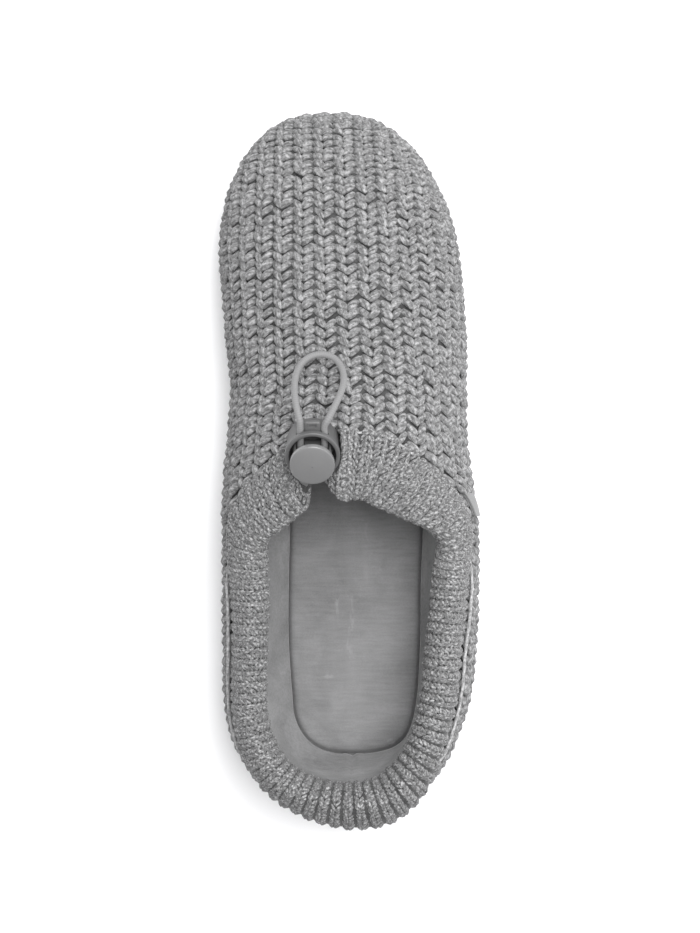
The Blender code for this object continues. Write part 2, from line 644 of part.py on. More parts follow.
def make_drawcord(collection):
    """One round elastic cord from the cuff's inner end through the lock, round the loop
    and back through the lock to the cuff's outer end."""
    frame = lock_matrix()
    reach = LOCK_RADIUS + CORD_STRAIGHT

    def through(side, ahead):
        return tuple(frame @ Vector((side * CORD_SPREAD, ahead, CORD_LEVEL)))

    stations = list(zip(*cuff_way()))

    def cuff_end(which, entry, onward):
        """The cord's end at the cuff, and the start of its straight run."""
        point = cuff_point(*stations[which], *entry)
        return [tuple(point + stations[which][2] * onward * run)
                for run in (CORD_END_GAP, CORD_END_RUN)]

    knots = cuff_end(-1, CORD_ENTRY_INNER, 1)
    knots += [through(-1, a) for a in (-reach, -reach / 2, 0, reach / 2, reach)]
    knots += [(x * MM, y * MM, INSTEP_HEIGHT + z * MM) for x, y, z in CORD_LOOP]
    knots += [through(1, a) for a in (reach, reach / 2, 0, -reach / 2, -reach)]
    knots += cuff_end(0, CORD_ENTRY_OUTER, -1)[::-1]
    route = smooth_route(knots, CORD_POINT_PITCH)
    curve = bpy.data.curves.new("drawcord", "CURVE")
    curve.dimensions = "3D"
    curve.bevel_depth = CORD_DIAMETER / 2
    curve.bevel_resolution = 2
    curve.use_fill_caps = True
    spline = curve.splines.new("POLY")
    spline.points.add(len(route) - 1)
    for point, place in zip(spline.points, route):
        point.co = (*place, 1)
    return add_object("drawcord", curve, material("elastic", COLOURS["cord"], 0.7), collection)


def make_side_tab(collection):
    """A small folded tab lying on the outer side, just under the seam."""
    middle = (TAB_Y - HEEL_END_Y) / FEATHER_LENGTH
    half = TAB_WIDTH / 2 / FEATHER_LENGTH
    angles = np.linspace(pi / 2, pi, 400)
    grid = []
    for station in np.linspace(middle - half, middle + half, TAB_COLUMNS):
        line = upper_point(station, angles)
        below = seam_height(line[:, 1]) - line[:, 2]
        start, end = (angles[int(np.argmax(below > drop))] for drop in (FIT_GAP, TAB_DROP))
        grid += [(station, a) for a in np.linspace(start, end, TAB_ROWS)]
    grid = np.array(grid)
    normal = surface_normal(grid[:, 0], grid[:, 1])
    points = upper_point(grid[:, 0], grid[:, 1]) + normal * FIT_GAP
    faces = [(a, a + 1, a + TAB_ROWS + 1, a + TAB_ROWS)
             for i in range(TAB_COLUMNS - 1) for a in range(i * TAB_ROWS, (i + 1) * TAB_ROWS - 1)]
    mesh = bpy.data.meshes.new("side_tab")
    mesh.from_pydata([tuple(p) for p in points], [], faces)
    tab = add_object("side_tab", mesh, material("tab_tape", COLOURS["tab"], 0.8), collection)
    wall = tab.modifiers.new("wall", "SOLIDIFY")
    wall.thickness = TAB_THICK
    wall.offset = 1
    return tab


def main():
    for old in list(bpy.data.objects):
        bpy.data.objects.remove(old)
    slipper = bpy.data.collections.new("knitted_slipper")
    cutters = bpy.data.collections.new("cutters")
    bpy.context.scene.collection.children.link(slipper)
    bpy.context.scene.collection.children.link(cutters)
    make_outsole(slipper, cutters)
    make_insole(slipper)
    make_upper(slipper, cutters)
    make_cuff(slipper)
    make_lock(slipper, cutters)
    make_drawcord(slipper)
    make_side_tab(slipper)
    for made in slipper.objects:
        if made.type == "MESH":
            made.data.shade_smooth()


main()
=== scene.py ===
from functools import partial
from math import cos, pi, radians, sin

import bmesh
import bpy
import numpy as np
from mathutils import Matrix, Vector


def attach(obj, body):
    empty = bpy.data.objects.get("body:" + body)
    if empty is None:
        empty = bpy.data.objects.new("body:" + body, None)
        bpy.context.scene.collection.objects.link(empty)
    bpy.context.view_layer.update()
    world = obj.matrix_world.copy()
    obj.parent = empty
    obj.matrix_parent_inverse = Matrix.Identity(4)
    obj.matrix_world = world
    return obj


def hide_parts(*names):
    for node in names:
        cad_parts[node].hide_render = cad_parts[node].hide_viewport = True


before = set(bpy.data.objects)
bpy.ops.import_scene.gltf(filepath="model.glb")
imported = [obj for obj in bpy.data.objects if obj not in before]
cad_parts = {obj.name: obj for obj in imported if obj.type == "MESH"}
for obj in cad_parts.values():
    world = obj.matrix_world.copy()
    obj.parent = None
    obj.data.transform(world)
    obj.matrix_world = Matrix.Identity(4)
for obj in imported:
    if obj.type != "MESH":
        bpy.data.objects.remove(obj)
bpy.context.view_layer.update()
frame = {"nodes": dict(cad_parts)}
mm = 0.001
body = "slipper"
collection = bpy.data.collections.new("dressedSlipper")
sceneCollection = bpy.context.scene.collection
sceneCollection.children.link(collection)
print("frame loaded:", ", ".join(frame["nodes"]))

# The shape of the slipper, the same driving sizes and tables as the solids
form = {
    "featherLength": 272.5 * mm,  # where upper meets sole, heel end to toe end
    "heelEndY": -134.0 * mm,
    "bellyHalfWidth": 48.0 * mm,
    "soleHalfWidth": 46.0 * mm,
    "instepHeight": 88.0 * mm,
    "soleHeight": 17.0 * mm,
    "soleSpring": 8.5 * mm,
    "bellyRise": 14.0 * mm,
    "toeRound": 62.0 * mm,
    "heelRound": 54.0 * mm,
    "toeDrop": 42.0 * mm,
    "heelDrop": 26.0 * mm,
    "toeBulge": 3.5 * mm,
    "heelBulge": 6.0 * mm,
    "roundPower": 2.2,
    "heelDropPower": 2.4,
    "wall": 3.0 * mm,
    "fitGap": 0.3 * mm,
}
lastTable = {
    "share":     (0.00, 0.05, 0.10, 0.20, 0.30, 0.40, 0.45, 0.50, 0.55, 0.60, 0.70, 0.80, 0.90, 1.00),
    "belly":     (0.965, 0.985, 1.00, 1.015, 1.035, 1.035, 1.025, 1.01, 0.99, 0.98, 1.005, 1.005, 0.99, 0.98),
    "sole":      (0.86, 0.865, 0.87, 0.885, 0.89, 0.895, 0.905, 0.925, 0.945, 0.97, 1.00, 1.00, 0.99, 0.98),
    "shift":     (0.06, -0.01, -0.015, 0.02, 0.03, 0.03, 0.01, 0.00, 0.00, 0.01, -0.02, -0.065, -0.11, -0.14),
    "soleShift": (0.07, 0.02, 0.01, 0.02, 0.04, 0.05, 0.04, 0.02, 0.005, 0.00, -0.03, -0.07, -0.11, -0.14),
    "tilt":      (-0.02, -0.04, -0.05, -0.07, -0.03, -0.02, 0.00, 0.00, 0.00, 0.00, 0.00, 0.00, 0.00, 0.00),
    "top":       (0.82, 0.82, 0.82, 0.82, 0.83, 0.90, 0.965, 1.00, 0.985, 0.925, 0.82, 0.725, 0.65, 0.60),
    "full":      (2.2, 2.2, 2.2, 2.2, 2.3, 2.8, 2.4, 2.15, 2.2, 2.2, 2.2, 2.2, 2.2, 2.2),
}
soleProfile = {
    "share":  (0.00, 0.03, 0.07, 0.28, 0.38, 0.47, 0.78, 0.86, 0.93, 1.00),
    "tread":  (0.13, 0.03, 0.00, 0.00, 0.11, 0.00, 0.00, 0.00, 0.00, 0.00),
    "edge":   (1.10, 1.07, 1.04, 0.97, 0.92, 0.87, 0.83, 0.81, 0.80, 0.80),
    "spring": (0.00, 0.00, 0.00, 0.00, 0.00, 0.00, 0.00, 0.14, 0.47, 1.00),
}
seamTable = {
    "y":      (-0.60, -0.38, -0.13, -0.09, -0.06, -0.03, -0.004, 0.023, 0.053),
    "height": (0.58, 0.57, 0.57, 0.59, 0.64, 0.735, 0.835, 0.915, 0.962),
}


def tableValue(table, column, at, key="share"):
    # smooth value of a table's column, never overshooting its rows
    xs = np.asarray(table[key], float)
    ys = np.asarray(table[column], float)
    width = np.diff(xs)
    slope = np.diff(ys) / width
    tangent = np.zeros_like(ys)
    sameWay = slope[:-1] * slope[1:] > 0
    weightA = 2 * width[1:] + width[:-1]
    weightB = width[1:] + 2 * width[:-1]
    inner = np.zeros_like(slope[:-1])
    inner[sameWay] = ((weightA + weightB) / (weightA / np.where(sameWay, slope[:-1], 1)
                      + weightB / np.where(sameWay, slope[1:], 1)))[sameWay]
    tangent[1:-1] = inner
    at = np.clip(np.asarray(at, float), xs[0], xs[-1])
    i = np.clip(np.searchsorted(xs, at, side="right") - 1, 0, len(width) - 1)
    t = (at - xs[i]) / width[i]
    h = width[i]
    return ((2 * t**3 - 3 * t**2 + 1) * ys[i] + (t**3 - 2 * t**2 + t) * h * tangent[i]
            + (-2 * t**3 + 3 * t**2) * ys[i + 1] + (t**3 - t**2) * h * tangent[i + 1])
def unit(vectors):
    return vectors / np.maximum(np.linalg.norm(vectors, axis=-1), 1e-12)[..., None]


def lengthAlong(points):
    # distance travelled at each point of a line, or of every line of a grid
    steps = np.linalg.norm(np.diff(points, axis=-2), axis=-1)
    return np.concatenate([np.zeros_like(steps[..., :1]), np.cumsum(steps, axis=-1)], -1)


def linesAt(wanted, lengths, grid):
    # every line of a grid again, at the wanted distances along it
    return np.array([[np.interp(wanted, length, column) for column in line.T]
                     for length, line in zip(lengths, grid)]).transpose(0, 2, 1)


def smoothed(values, times):
    for _ in range(times):
        values[1:-1] = (values[:-2] + 2 * values[1:-1] + values[2:]) / 4
    return values


def sideways(ring):
    # directions square to a closed outline
    along = np.roll(ring, -1, 0) - np.roll(ring, 1, 0)
    return unit(np.stack([along[:, 1], -along[:, 0]], 1))


def shareAt(y):
    return (y - form["heelEndY"]) / form["featherLength"]


def endRound(share, toeLength, heelLength, toePower, heelPower):
    toe = np.clip(1 - (1 - share) * form["featherLength"] / toeLength, 0, 1)
    heel = np.clip(1 - share * form["featherLength"] / heelLength, 0, 1)
    return ((1 - toe**toePower) ** (1 / toePower)) * ((1 - heel**heelPower) ** (1 / heelPower))


def featherHeight(share):
    edge = tableValue(soleProfile, "edge", share) * form["soleHeight"]
    return edge + tableValue(soleProfile, "spring", share) * form["soleSpring"] + form["fitGap"]


def upperPoint(share, angle):
    # angle: -1 feather line, 0 belly, pi / 2 ridge, pi belly, pi + 1 feather line
    share, angle = np.broadcast_arrays(np.asarray(share, float), np.asarray(angle, float))

    def sized(column, size="bellyHalfWidth"):
        return tableValue(lastTable, column, share) * form[size]

    plan = endRound(share, form["toeRound"], form["heelRound"], form["roundPower"], form["roundPower"])
    drop = endRound(share, form["toeDrop"], form["heelDrop"], form["roundPower"], form["heelDropPower"])
    feather = featherHeight(share)
    middle = sized("shift")
    belly = sized("belly") * plan
    sole = sized("sole", "soleHalfWidth") * plan
    rise = form["bellyRise"] * drop
    arch = (sized("top", "instepHeight") - feather - form["bellyRise"]) * drop
    power = 2 / tableValue(lastTable, "full", share)
    over = np.clip(angle, 0, pi)
    side = -np.sign(np.cos(over)) * np.abs(np.cos(over)) ** power
    up = np.abs(np.sin(over)) ** power
    below = np.clip(np.maximum(-angle, angle - pi), 0, 1)
    x = middle + side * belly + sized("tilt") * up
    x = x + below**2 * (sized("soleShift") + side * sole - middle - side * belly)
    height = np.where(below > 0, rise * (1 - below), rise + arch * up)
    swell = np.sin(np.clip(height / form["bellyRise"], 0, 1) * pi / 2)
    nearToe = np.clip(1 - (1 - share) * form["featherLength"] / form["toeRound"], 0, 1) ** 2
    nearHeel = np.clip(1 - share * form["featherLength"] / form["heelRound"], 0, 1) ** 2
    y = form["heelEndY"] + share * form["featherLength"]
    y = y + swell * (nearToe * form["toeBulge"] - nearHeel * form["heelBulge"])
    return np.stack([x, y, feather + height], -1)


def surfaceNormal(share, angle):
    step = 0.0005
    share = np.clip(share, 2 * step, 1 - 2 * step)
    across = upperPoint(share, angle + step) - upperPoint(share, angle - step)
    along = upperPoint(share + step, angle) - upperPoint(share - step, angle)
    return unit(np.cross(across, along))


def seamHeight(y):
    return tableValue(seamTable, "height", y / form["featherLength"], key="y") * form["instepHeight"]


def resampled(values, points, steps):
    length = lengthAlong(points)
    at = np.linspace(0, length[-1], steps)
    return np.column_stack([np.interp(at, length, column) for column in values.T])


def evenRing(ring, steps):
    closed = np.vstack([ring, ring[:1]])
    return resampled(closed, upperPoint(closed[:, 0], closed[:, 1]), steps + 1)[:-1]


def evenedLoop(plan, count=300):
    closed = np.vstack([plan, plan[:1]])
    return resampled(closed, closed, count + 1)[:-1]


def stationShares(count):
    return 0.5 - 0.5 * np.cos(np.linspace(0, pi, count + 1))


def featherRing(offset, count=150):
    # the feather line moved outward: heel end, outer side, toe end, inner side
    shares = stationShares(count)
    outer = upperPoint(shares, pi + 1)[:, :2]
    inner = upperPoint(shares[1:-1], -1)[::-1, :2]
    ring = np.concatenate([outer, inner])
    return ring + sideways(ring) * offset, np.concatenate([shares, shares[1:-1][::-1]])


lock = {
    "centre": Vector((-12.9, 3.6, 93.5)) * mm,  # middle of the cup's mouth
    "tilt": radians(34.0),
    "radius": 10.3 * mm,
    "wall": 1.6 * mm,
    "rim": 2.2 * mm,
    "rimStep": 0.6 * mm,
    "bevel": 0.5 * mm,
    "buttonRadius": 8.3 * mm,
    "buttonCap": 3.4 * mm,
    "buttonEdge": 1.2 * mm,
    "travel": 3.3 * mm,
    "stemWidth": 14.0 * mm,
    "stemDepth": 6.0 * mm,
    "stemBar": 1.5 * mm,
    "turnSteps": 96,
    "clearBelow": -15.0 * mm,  # the fabric keeps clear of the barrel between these heights
    "clearAbove": 5.0 * mm,
    "sharpFrom": 40,  # degrees
    "cupRound": 0.55 * mm,
    "buttonRound": 0.6 * mm,
    "bailBevel": 0.45 * mm,
    "smallBevel": 0.3 * mm,
    "bailSize": Vector((5.8, 4.2, 2.0)) * mm,
    "bailHole": Vector((3.4, 1.7, 4.0)) * mm,
}
cordForm = {
    "diameter": 2.5 * mm,
    "spread": 4.5 * mm,  # each cord's distance from the lock's middle
    "level": -3.6 * mm,  # below the cup's mouth
    "endRun": 3.6 * mm,
    "straight": 1.5 * mm,  # past the barrel on both sides
    "endGap": 0.7 * mm,
    "pitch": 3.0 * mm,  # between points of the route
    "entryInner": (0.62, -0.50),
    "entryOuter": (0.72, -0.50),
    # the loop on the vamp, in millimetres
    "loop": (
        (-17.6, 17.2, 97.9), (-18.9, 22.6, 96.6), (-19.6, 28.4, 93.0), (-19.1, 34.0, 88.6),
        (-17.0, 38.6, 84.9), (-13.3, 41.4, 83.0), (-9.5, 42.0, 82.7), (-5.5, 40.9, 83.2),
        (-2.6, 37.8, 85.2), (-1.3, 32.9, 89.0), (-2.3, 27.7, 93.3), (-4.6, 22.4, 96.6),
        (-7.2, 17.2, 97.9),
    ),
}


def lockMatrix():
    return Matrix.Translation(lock["centre"]) @ Matrix.Rotation(lock["tilt"], 4, "X")


def seamLoop(samples=400, steps=240, smoothing=24):
    # the seam between upper and collar as stations and angles, from the throat round the heel
    front = shareAt(seamTable["y"][-1] * form["featherLength"])
    shares = stationShares(steps)
    shares = np.append(shares[shares < front], front)
    found = {}
    for side, belly in (("outer", pi), ("inner", 0)):
        rows = []
        angles = np.linspace(pi / 2, belly, samples)
        for share in shares[::-1]:
            points = upperPoint(share, angles)
            over = points[:, 2] - seamHeight(points[:, 1])
            if over[0] < 0:
                continue
            k = int(np.argmax(over < 0))
            t = over[k - 1] / (over[k - 1] - over[k])
            rows.append((share, angles[k - 1] + t * (angles[k] - angles[k - 1])))
        found[side] = rows
    outer, inner = found["outer"], found["inner"][::-1]
    across = [(front, a) for a in np.linspace(inner[-1][1], outer[0][1], 24)]
    ring = np.array(outer + inner + across[1:-1])
    turn = len(outer) + len(inner)
    x = upperPoint(ring[turn:, 0], ring[turn:, 1])[:, 0]
    ring = np.roll(ring, -turn - int(np.argmin(np.abs(x - lock["centre"].x))), axis=0)
    ring = evenRing(ring, steps)
    for _ in range(smoothing):
        ring = (np.roll(ring, 1, 0) + 2 * ring + np.roll(ring, -1, 0)) / 4
    return ring


theSeam = seamLoop()

cuffForm = {
    "rise": 26.0 * mm,
    "reach": 14.0 * mm,
    "swell": 2.4 * mm,
    "gapInnerX": -25.2 * mm,
    "gapOuterX": -1.6 * mm,
    "stations": 62,
    "outerDome": 8.0 * mm,  # how far each rounded end reaches past the last station
    "innerDome": 5.0 * mm,
    "domeRings": 5,
    "lockClear": 0.8 * mm,
    # rise and across, from the seam up, over, down inside and back under
    "section": (
        (0.00, 0.00), (0.14, 0.55), (0.38, 1.00), (0.62, 0.60), (0.84, -0.12), (0.96, -0.38),
        (0.93, -0.68), (0.76, -0.92), (0.45, -1.00), (0.12, -1.00), (-0.12, -0.88),
        (-0.12, -0.55), (0.00, -0.32),
    ),
}
cuffWayTable = {
    "share": (0.00, 0.06, 0.10, 0.14, 0.18, 0.24, 0.40, 0.50, 0.60, 0.76, 0.84, 0.90, 0.95, 1.00),
    "rise":  (1.05, 1.02, 0.90, 0.80, 0.85, 1.00, 1.00, 1.00, 1.00, 1.00, 0.90, 0.85, 0.90, 0.90),
    "reach": (0.90, 0.95, 0.95, 0.85, 0.90, 1.00, 1.00, 1.00, 0.95, 0.95, 1.00, 0.95, 0.90, 0.80),
    "swell": (0.70, 1.00, 1.00, 0.90, 0.50, 0.05, 0.40, 2.00, 0.90, 0.10, 0.60, 1.00, 1.00, 0.60),
    "lean":  (0.88, 0.80, 0.66, 0.40, 0.16, 0.08, 0.06, 0.02, 0.02, 0.07, 0.12, 0.24, 0.55, 0.75),
    "skew":  (0.00, 0.00, 0.00, 0.00, 0.00, 0.00, 0.00, 0.00, 0.00, 0.00, 0.00, 0.00, -0.05, -0.30),
}


def cuffWay():
    loop = evenRing(theSeam, 600)
    points = upperPoint(loop[:, 0], loop[:, 1])
    outerEnd = np.argmax(points[:300, 0] > cuffForm["gapOuterX"])
    innerEnd = len(points) - np.argmax(points[:300:-1, 0] < cuffForm["gapInnerX"])
    loop = resampled(loop[outerEnd:innerEnd], points[outerEnd:innerEnd], cuffForm["stations"])
    points = upperPoint(loop[:, 0], loop[:, 1])
    tangent = unit(smoothed(np.gradient(points, axis=0), 4))
    return points, np.linspace(0, 1, len(points)), tangent


def cuffPoint(base, share, tangent, rise, across):
    lean = tableValue(cuffWayTable, "lean", share) * pi / 2
    out = np.cross((0, 0, 1), tangent)
    out /= np.linalg.norm(out)
    up = np.cross(tangent, out)
    along = up * cos(lean) - out * sin(lean)
    over = out * cos(lean) + up * sin(lean)
    tall = rise * tableValue(cuffWayTable, "rise", share) * cuffForm["rise"]
    column = "swell" if across > 0 else "reach"
    deep = across * tableValue(cuffWayTable, column, share) * cuffForm[column]
    back = tangent * tableValue(cuffWayTable, "skew", share) * tall
    return base + along * (form["fitGap"] * (rise >= 0) + tall) + over * deep + back


cuffStations = list(zip(*cuffWay()))
openRings = np.array([[cuffPoint(*station, *row) for row in cuffForm["section"]]
                      for station in cuffStations])


def closedEnds(rings):
    # domed rings after each end of the roll, reaching for the lock
    extra = []
    for end, beside, length in ((rings[0], rings[1], cuffForm["outerDome"]),
                                (rings[-1], rings[-2], cuffForm["innerDome"])):
        middle = end.mean(0)
        onward = (end - beside).mean(0)
        onward /= np.linalg.norm(onward)
        extra.append([middle + (end - middle) * cos(a) + onward * length * sin(a)
                      for a in np.linspace(0, 0.47 * pi, cuffForm["domeRings"] + 1)[1:]])
    return np.concatenate([extra[0][::-1], rings, extra[1]])


def clearOfLock(points):
    # fabric lies against the lock's barrel, not in it
    place = lockMatrix()
    turn = np.array(place.to_3x3())
    local = (points - np.array(place.translation)) @ turn
    around = np.hypot(local[..., 0], local[..., 1])
    wanted = lock["radius"] + cuffForm["lockClear"]
    beside = (around < wanted) & (local[..., 2] > lock["clearBelow"]) & (local[..., 2] < lock["clearAbove"])
    grow = np.where(beside, wanted / np.maximum(around, 1e-6), 1.0)
    local[..., :2] *= grow[..., None]
    return local @ turn.T + np.array(place.translation)


cuffRings = closedEnds(openRings)


def splineAt(values, at):
    # smooth curve through the rows of values, at positions counted in rows
    padded = np.concatenate([2 * values[:1] - values[1:2], values, 2 * values[-1:] - values[-2:-1]])
    at = np.clip(np.asarray(at, float), 0, len(values) - 1)
    i = np.clip(np.floor(at).astype(int), 0, len(values) - 2)
    t = (at - i).reshape(-1, *([1] * (values.ndim - 1)))
    p0, p1, p2, p3 = (padded[i + k] for k in range(4))
    return 0.5 * (2 * p1 + (p2 - p0) * t + (2 * p0 - 5 * p1 + 4 * p2 - p3) * t**2
                  + (3 * p1 - p0 - 3 * p2 + p3) * t**3)


def addObject(name, mesh, look, rides=body, stands=()):
    made = bpy.data.objects.new(name, mesh)
    collection.objects.link(made)
    made.data.materials.append(look)
    if rides:
        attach(made, rides)
    if stands:
        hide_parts(*stands)
    return made


def quadMesh(name, points, quads):
    mesh = bpy.data.meshes.new(name)
    mesh.vertices.add(len(points))
    mesh.vertices.foreach_set("co", np.asarray(points, np.float32).ravel())
    mesh.loops.add(quads.size)
    mesh.loops.foreach_set("vertex_index", quads.astype(np.int32).ravel())
    mesh.polygons.add(len(quads))
    mesh.polygons.foreach_set("loop_start", np.arange(0, quads.size, 4, dtype=np.int32))
    mesh.update(calc_edges=True)
    mesh.validate()
    mesh.shade_smooth()
    return mesh


def threadMap(mesh, uv):
    layer = mesh.uv_layers.new(name="thread")
    layer.data.foreach_set("uv", uv.astype(np.float32).ravel())
    return mesh


def gridMesh(name, points, closeAcross=False, keep=None, uvSize=0.01):
    # a sheet of quads over points[row, column], with an ordinary UV map along the rows
    rows, columns = points.shape[:2]
    i, j = np.meshgrid(np.arange(rows - 1), np.arange(columns - (not closeAcross)), indexing="ij")
    i, j = i.ravel(), j.ravel()
    j1 = (j + 1) % columns
    quads = np.stack([i * columns + j, i * columns + j1, (i + 1) * columns + j1, (i + 1) * columns + j], 1)
    if keep is not None:
        quads = quads[keep.ravel()[quads].any(1)]
    across = lengthAlong(points) / uvSize
    steps = np.linalg.norm(np.diff(points, axis=0), axis=2).mean(1)
    along = np.concatenate([[0], np.cumsum(steps)]) / uvSize
    uv = np.stack([across.ravel(), np.repeat(along, columns)], 1)[quads.ravel()]
    return threadMap(quadMesh(name, points.reshape(-1, 3), quads), uv)


def tubes(name, centres, normals, width, height, sides, uvShift, uvSize):
    # many short closed tubes: centres[tube, ring], flattened along the surface normals
    count, rings = centres.shape[:2]
    along = unit(np.gradient(centres, axis=1))
    side = unit(np.cross(along, normals))
    up = np.cross(side, along)
    turn = np.linspace(0, 2 * pi, sides, endpoint=False) - pi / 2
    points = (centres[:, :, None] + side[:, :, None] * width[..., None, None] * np.cos(turn)[:, None]
              + up[:, :, None] * height[..., None, None] * np.sin(turn)[:, None])
    ring = np.arange(sides)
    nextRing = (ring + 1) % sides
    wall = np.stack([ring, nextRing, nextRing + sides, ring + sides], 1)
    wall = (wall[None] + np.arange(rings - 1)[:, None, None] * sides).reshape(-1, 4)
    lid = np.array([(k, k + 1, sides - k - 2, sides - k - 1) for k in range(sides // 2 - 1)])
    one = np.concatenate([wall, lid[:, ::-1], lid + (rings - 1) * sides])
    quads = (one[None] + np.arange(count)[:, None, None] * rings * sides).reshape(-1, 4)
    distance = lengthAlong(centres) / uvSize + np.asarray(uvShift)[:, None]
    wallU = np.tile(np.stack([ring, ring + 1, ring + 1, ring], 1) / sides, (rings - 1, 1))
    lidU = lid % sides / sides
    u = np.concatenate([wallU, lidU[:, ::-1], lidU])
    uv = np.stack([np.broadcast_to(u, (count, *u.shape)), distance[:, one // sides]], -1)
    return threadMap(quadMesh(name, points.reshape(-1, 3), quads), uv)


# Shader groups: each puts out only colours, masks and heights
def addNode(tree, kind, inputs=None, **settings):
    made = tree.nodes.new(kind)
    for name, value in settings.items():
        setattr(made, name, value)
    for name, value in (inputs or {}).items():
        if isinstance(value, bpy.types.NodeSocket):
            tree.links.new(value, made.inputs[name])
        else:
            made.inputs[name].default_value = value
    return made


def maths(tree, operation, a, b=0.0, clamp=False):
    return addNode(tree, "ShaderNodeMath", {0: a, 1: b}, operation=operation, use_clamp=clamp).outputs[0]


def noise(tree, where, scale, **inputs):
    return addNode(tree, "ShaderNodeTexNoise", {"Vector": where, "Scale": scale, **inputs}).outputs[0]


def spread(tree, value, low, high, toLow=0.0, toHigh=1.0):
    ends = {"Value": value, "From Min": low, "From Max": high, "To Min": toLow, "To Max": toHigh}
    return addNode(tree, "ShaderNodeMapRange", ends, clamp=True).outputs[0]


def blend(tree, factor, a, b):
    # the colour sockets of a Mix node are 6 and 7, and its colour comes out at 2
    return addNode(tree, "ShaderNodeMix", {0: factor, 6: a, 7: b}, data_type="RGBA").outputs[2]


def newGroup(name, inputs):
    # inputs with four values are colours; Color and Height always come out
    group = bpy.data.node_groups.new(name, "ShaderNodeTree")
    for label, value in inputs.items():
        kind = "NodeSocketColor" if isinstance(value, tuple) else "NodeSocketFloat"
        group.interface.new_socket(label, in_out="INPUT", socket_type=kind).default_value = value
    group.interface.new_socket("Color", in_out="OUTPUT", socket_type="NodeSocketColor")
    group.interface.new_socket("Height", in_out="OUTPUT", socket_type="NodeSocketFloat")
    given = group.nodes.new("NodeGroupInput").outputs
    return group, given, partial(maths, group, "MULTIPLY"), partial(maths, group, "ADD")


def putOut(group, **values):
    out = group.nodes.new("NodeGroupOutput")
    for label, value in values.items():
        group.links.new(value, out.inputs[label])
    return group


def objectPlace(tree):
    return addNode(tree, "ShaderNodeTexCoord").outputs["Object"]


def threadPlace(tree):
    uv = addNode(tree, "ShaderNodeUVMap", uv_map="thread")
    return addNode(tree, "ShaderNodeSeparateXYZ", {0: uv.outputs[0]}).outputs


def spunYarnGroup():
    # plies that wind round the strand, fibres along them and pale and dark flecks, with painted shade in the
    # grooves where the plies meet
    group, given, times, plus = newGroup("spunYarn", {
        "Dark": (0.1, 0.1, 0.1, 1), "Mid": (0.3, 0.3, 0.3, 1), "Light": (0.6, 0.6, 0.6, 1),
        "Plies": 3.0, "Twist": 0.6, "Fibre": 9.0, "Fleck": 900.0,
    })
    thread = threadPlace(group)
    phase = plus(times(thread[0], given["Plies"]), times(thread[1], given["Twist"]))
    wave = maths(group, "ABSOLUTE", maths(group, "SINE", times(phase, pi)))
    ply = maths(group, "POWER", wave, 0.55)
    place = addNode(group, "ShaderNodeCombineXYZ", {
        0: times(phase, given["Fibre"]), 1: times(thread[1], 1.3), 2: thread[0]})
    fibre = noise(group, place.outputs[0], 1.0, Detail=3.0, Roughness=0.65)
    fleck = noise(group, objectPlace(group), given["Fleck"], Detail=2.0, Roughness=0.6)
    single = addNode(group, "ShaderNodeCombineXYZ", {0: times(thread[1], 0.35)})
    patch = noise(group, single.outputs[0], 1.0, Detail=2.0)
    streak = spread(group, fibre, 0.40, 0.62)
    speck = spread(group, fleck, 0.40, 0.62)
    tone = plus(plus(times(streak, 0.42), times(speck, 0.46)), times(patch, 0.16))
    # darker where the plies meet: painted shade in the grooves between the plies
    tone = times(tone, plus(times(ply, 0.45), 0.58))
    low = blend(group, times(tone, 2.0, True), given["Dark"], given["Mid"])
    above = times(maths(group, "SUBTRACT", tone, 0.5), 2.0, True)
    return putOut(group, Color=blend(group, above, low, given["Light"]),
                  Height=plus(times(ply, 0.62), times(fibre, 0.5)))


def pileGroup():
    # short brushed nap: fine specks over soft cloudy patches, with rubbed, paler smears
    group, given, times, plus = newGroup("brushedPile", {
        "Dark": (0.2, 0.2, 0.2, 1), "Light": (0.4, 0.4, 0.4, 1), "Pale": (0.4, 0.4, 0.4, 1),
        "Grain": 2600.0, "Cloud": 45.0, "Rub": 55.0,
    })
    where = objectPlace(group)
    grain = noise(group, where, given["Grain"], Detail=3.0, Roughness=0.7)
    cloud = noise(group, where, given["Cloud"], Detail=4.0, Roughness=0.6, Distortion=0.6)
    stretched = addNode(group, "ShaderNodeVectorMath", {0: where, 1: (0.12, 1.0, 1.0)}, operation="MULTIPLY")
    streak = noise(group, stretched.outputs[0], 900.0, Detail=3.0)
    tone = plus(plus(times(grain, 0.35), times(cloud, 0.60)), times(streak, 0.25))
    nap = blend(group, spread(group, tone, 0.42, 0.78), given["Dark"], given["Light"])
    rubbed = noise(group, where, given["Rub"], Detail=5.0, Roughness=0.7, Distortion=1.2)
    smear = spread(group, rubbed, 0.63, 0.72, toHigh=0.55)
    return putOut(group, Color=blend(group, smear, nap, given["Pale"]), Height=tone)


def mouldedGroup():
    # faint moulded or handled unevenness for plastic and rubber
    group, given, times, plus = newGroup("mouldedFinish", {
        "Base": (0.3, 0.3, 0.3, 1), "Worn": (0.4, 0.4, 0.4, 1), "Scale": 600.0, "Amount": 0.35,
    })
    group.interface.new_socket("Roughness", in_out="OUTPUT", socket_type="NodeSocketFloat")
    where = objectPlace(group)
    fine = noise(group, where, given["Scale"], Detail=3.0, Roughness=0.6)
    broad = noise(group, where, 60.0, Detail=3.0)
    tone = plus(times(fine, 0.5), times(broad, 0.5))
    colour = blend(group, times(tone, given["Amount"], True), given["Base"], given["Worn"])
    return putOut(group, Color=colour, Height=fine, Roughness=spread(group, tone, 0.3, 0.7, 0.36, 0.52))


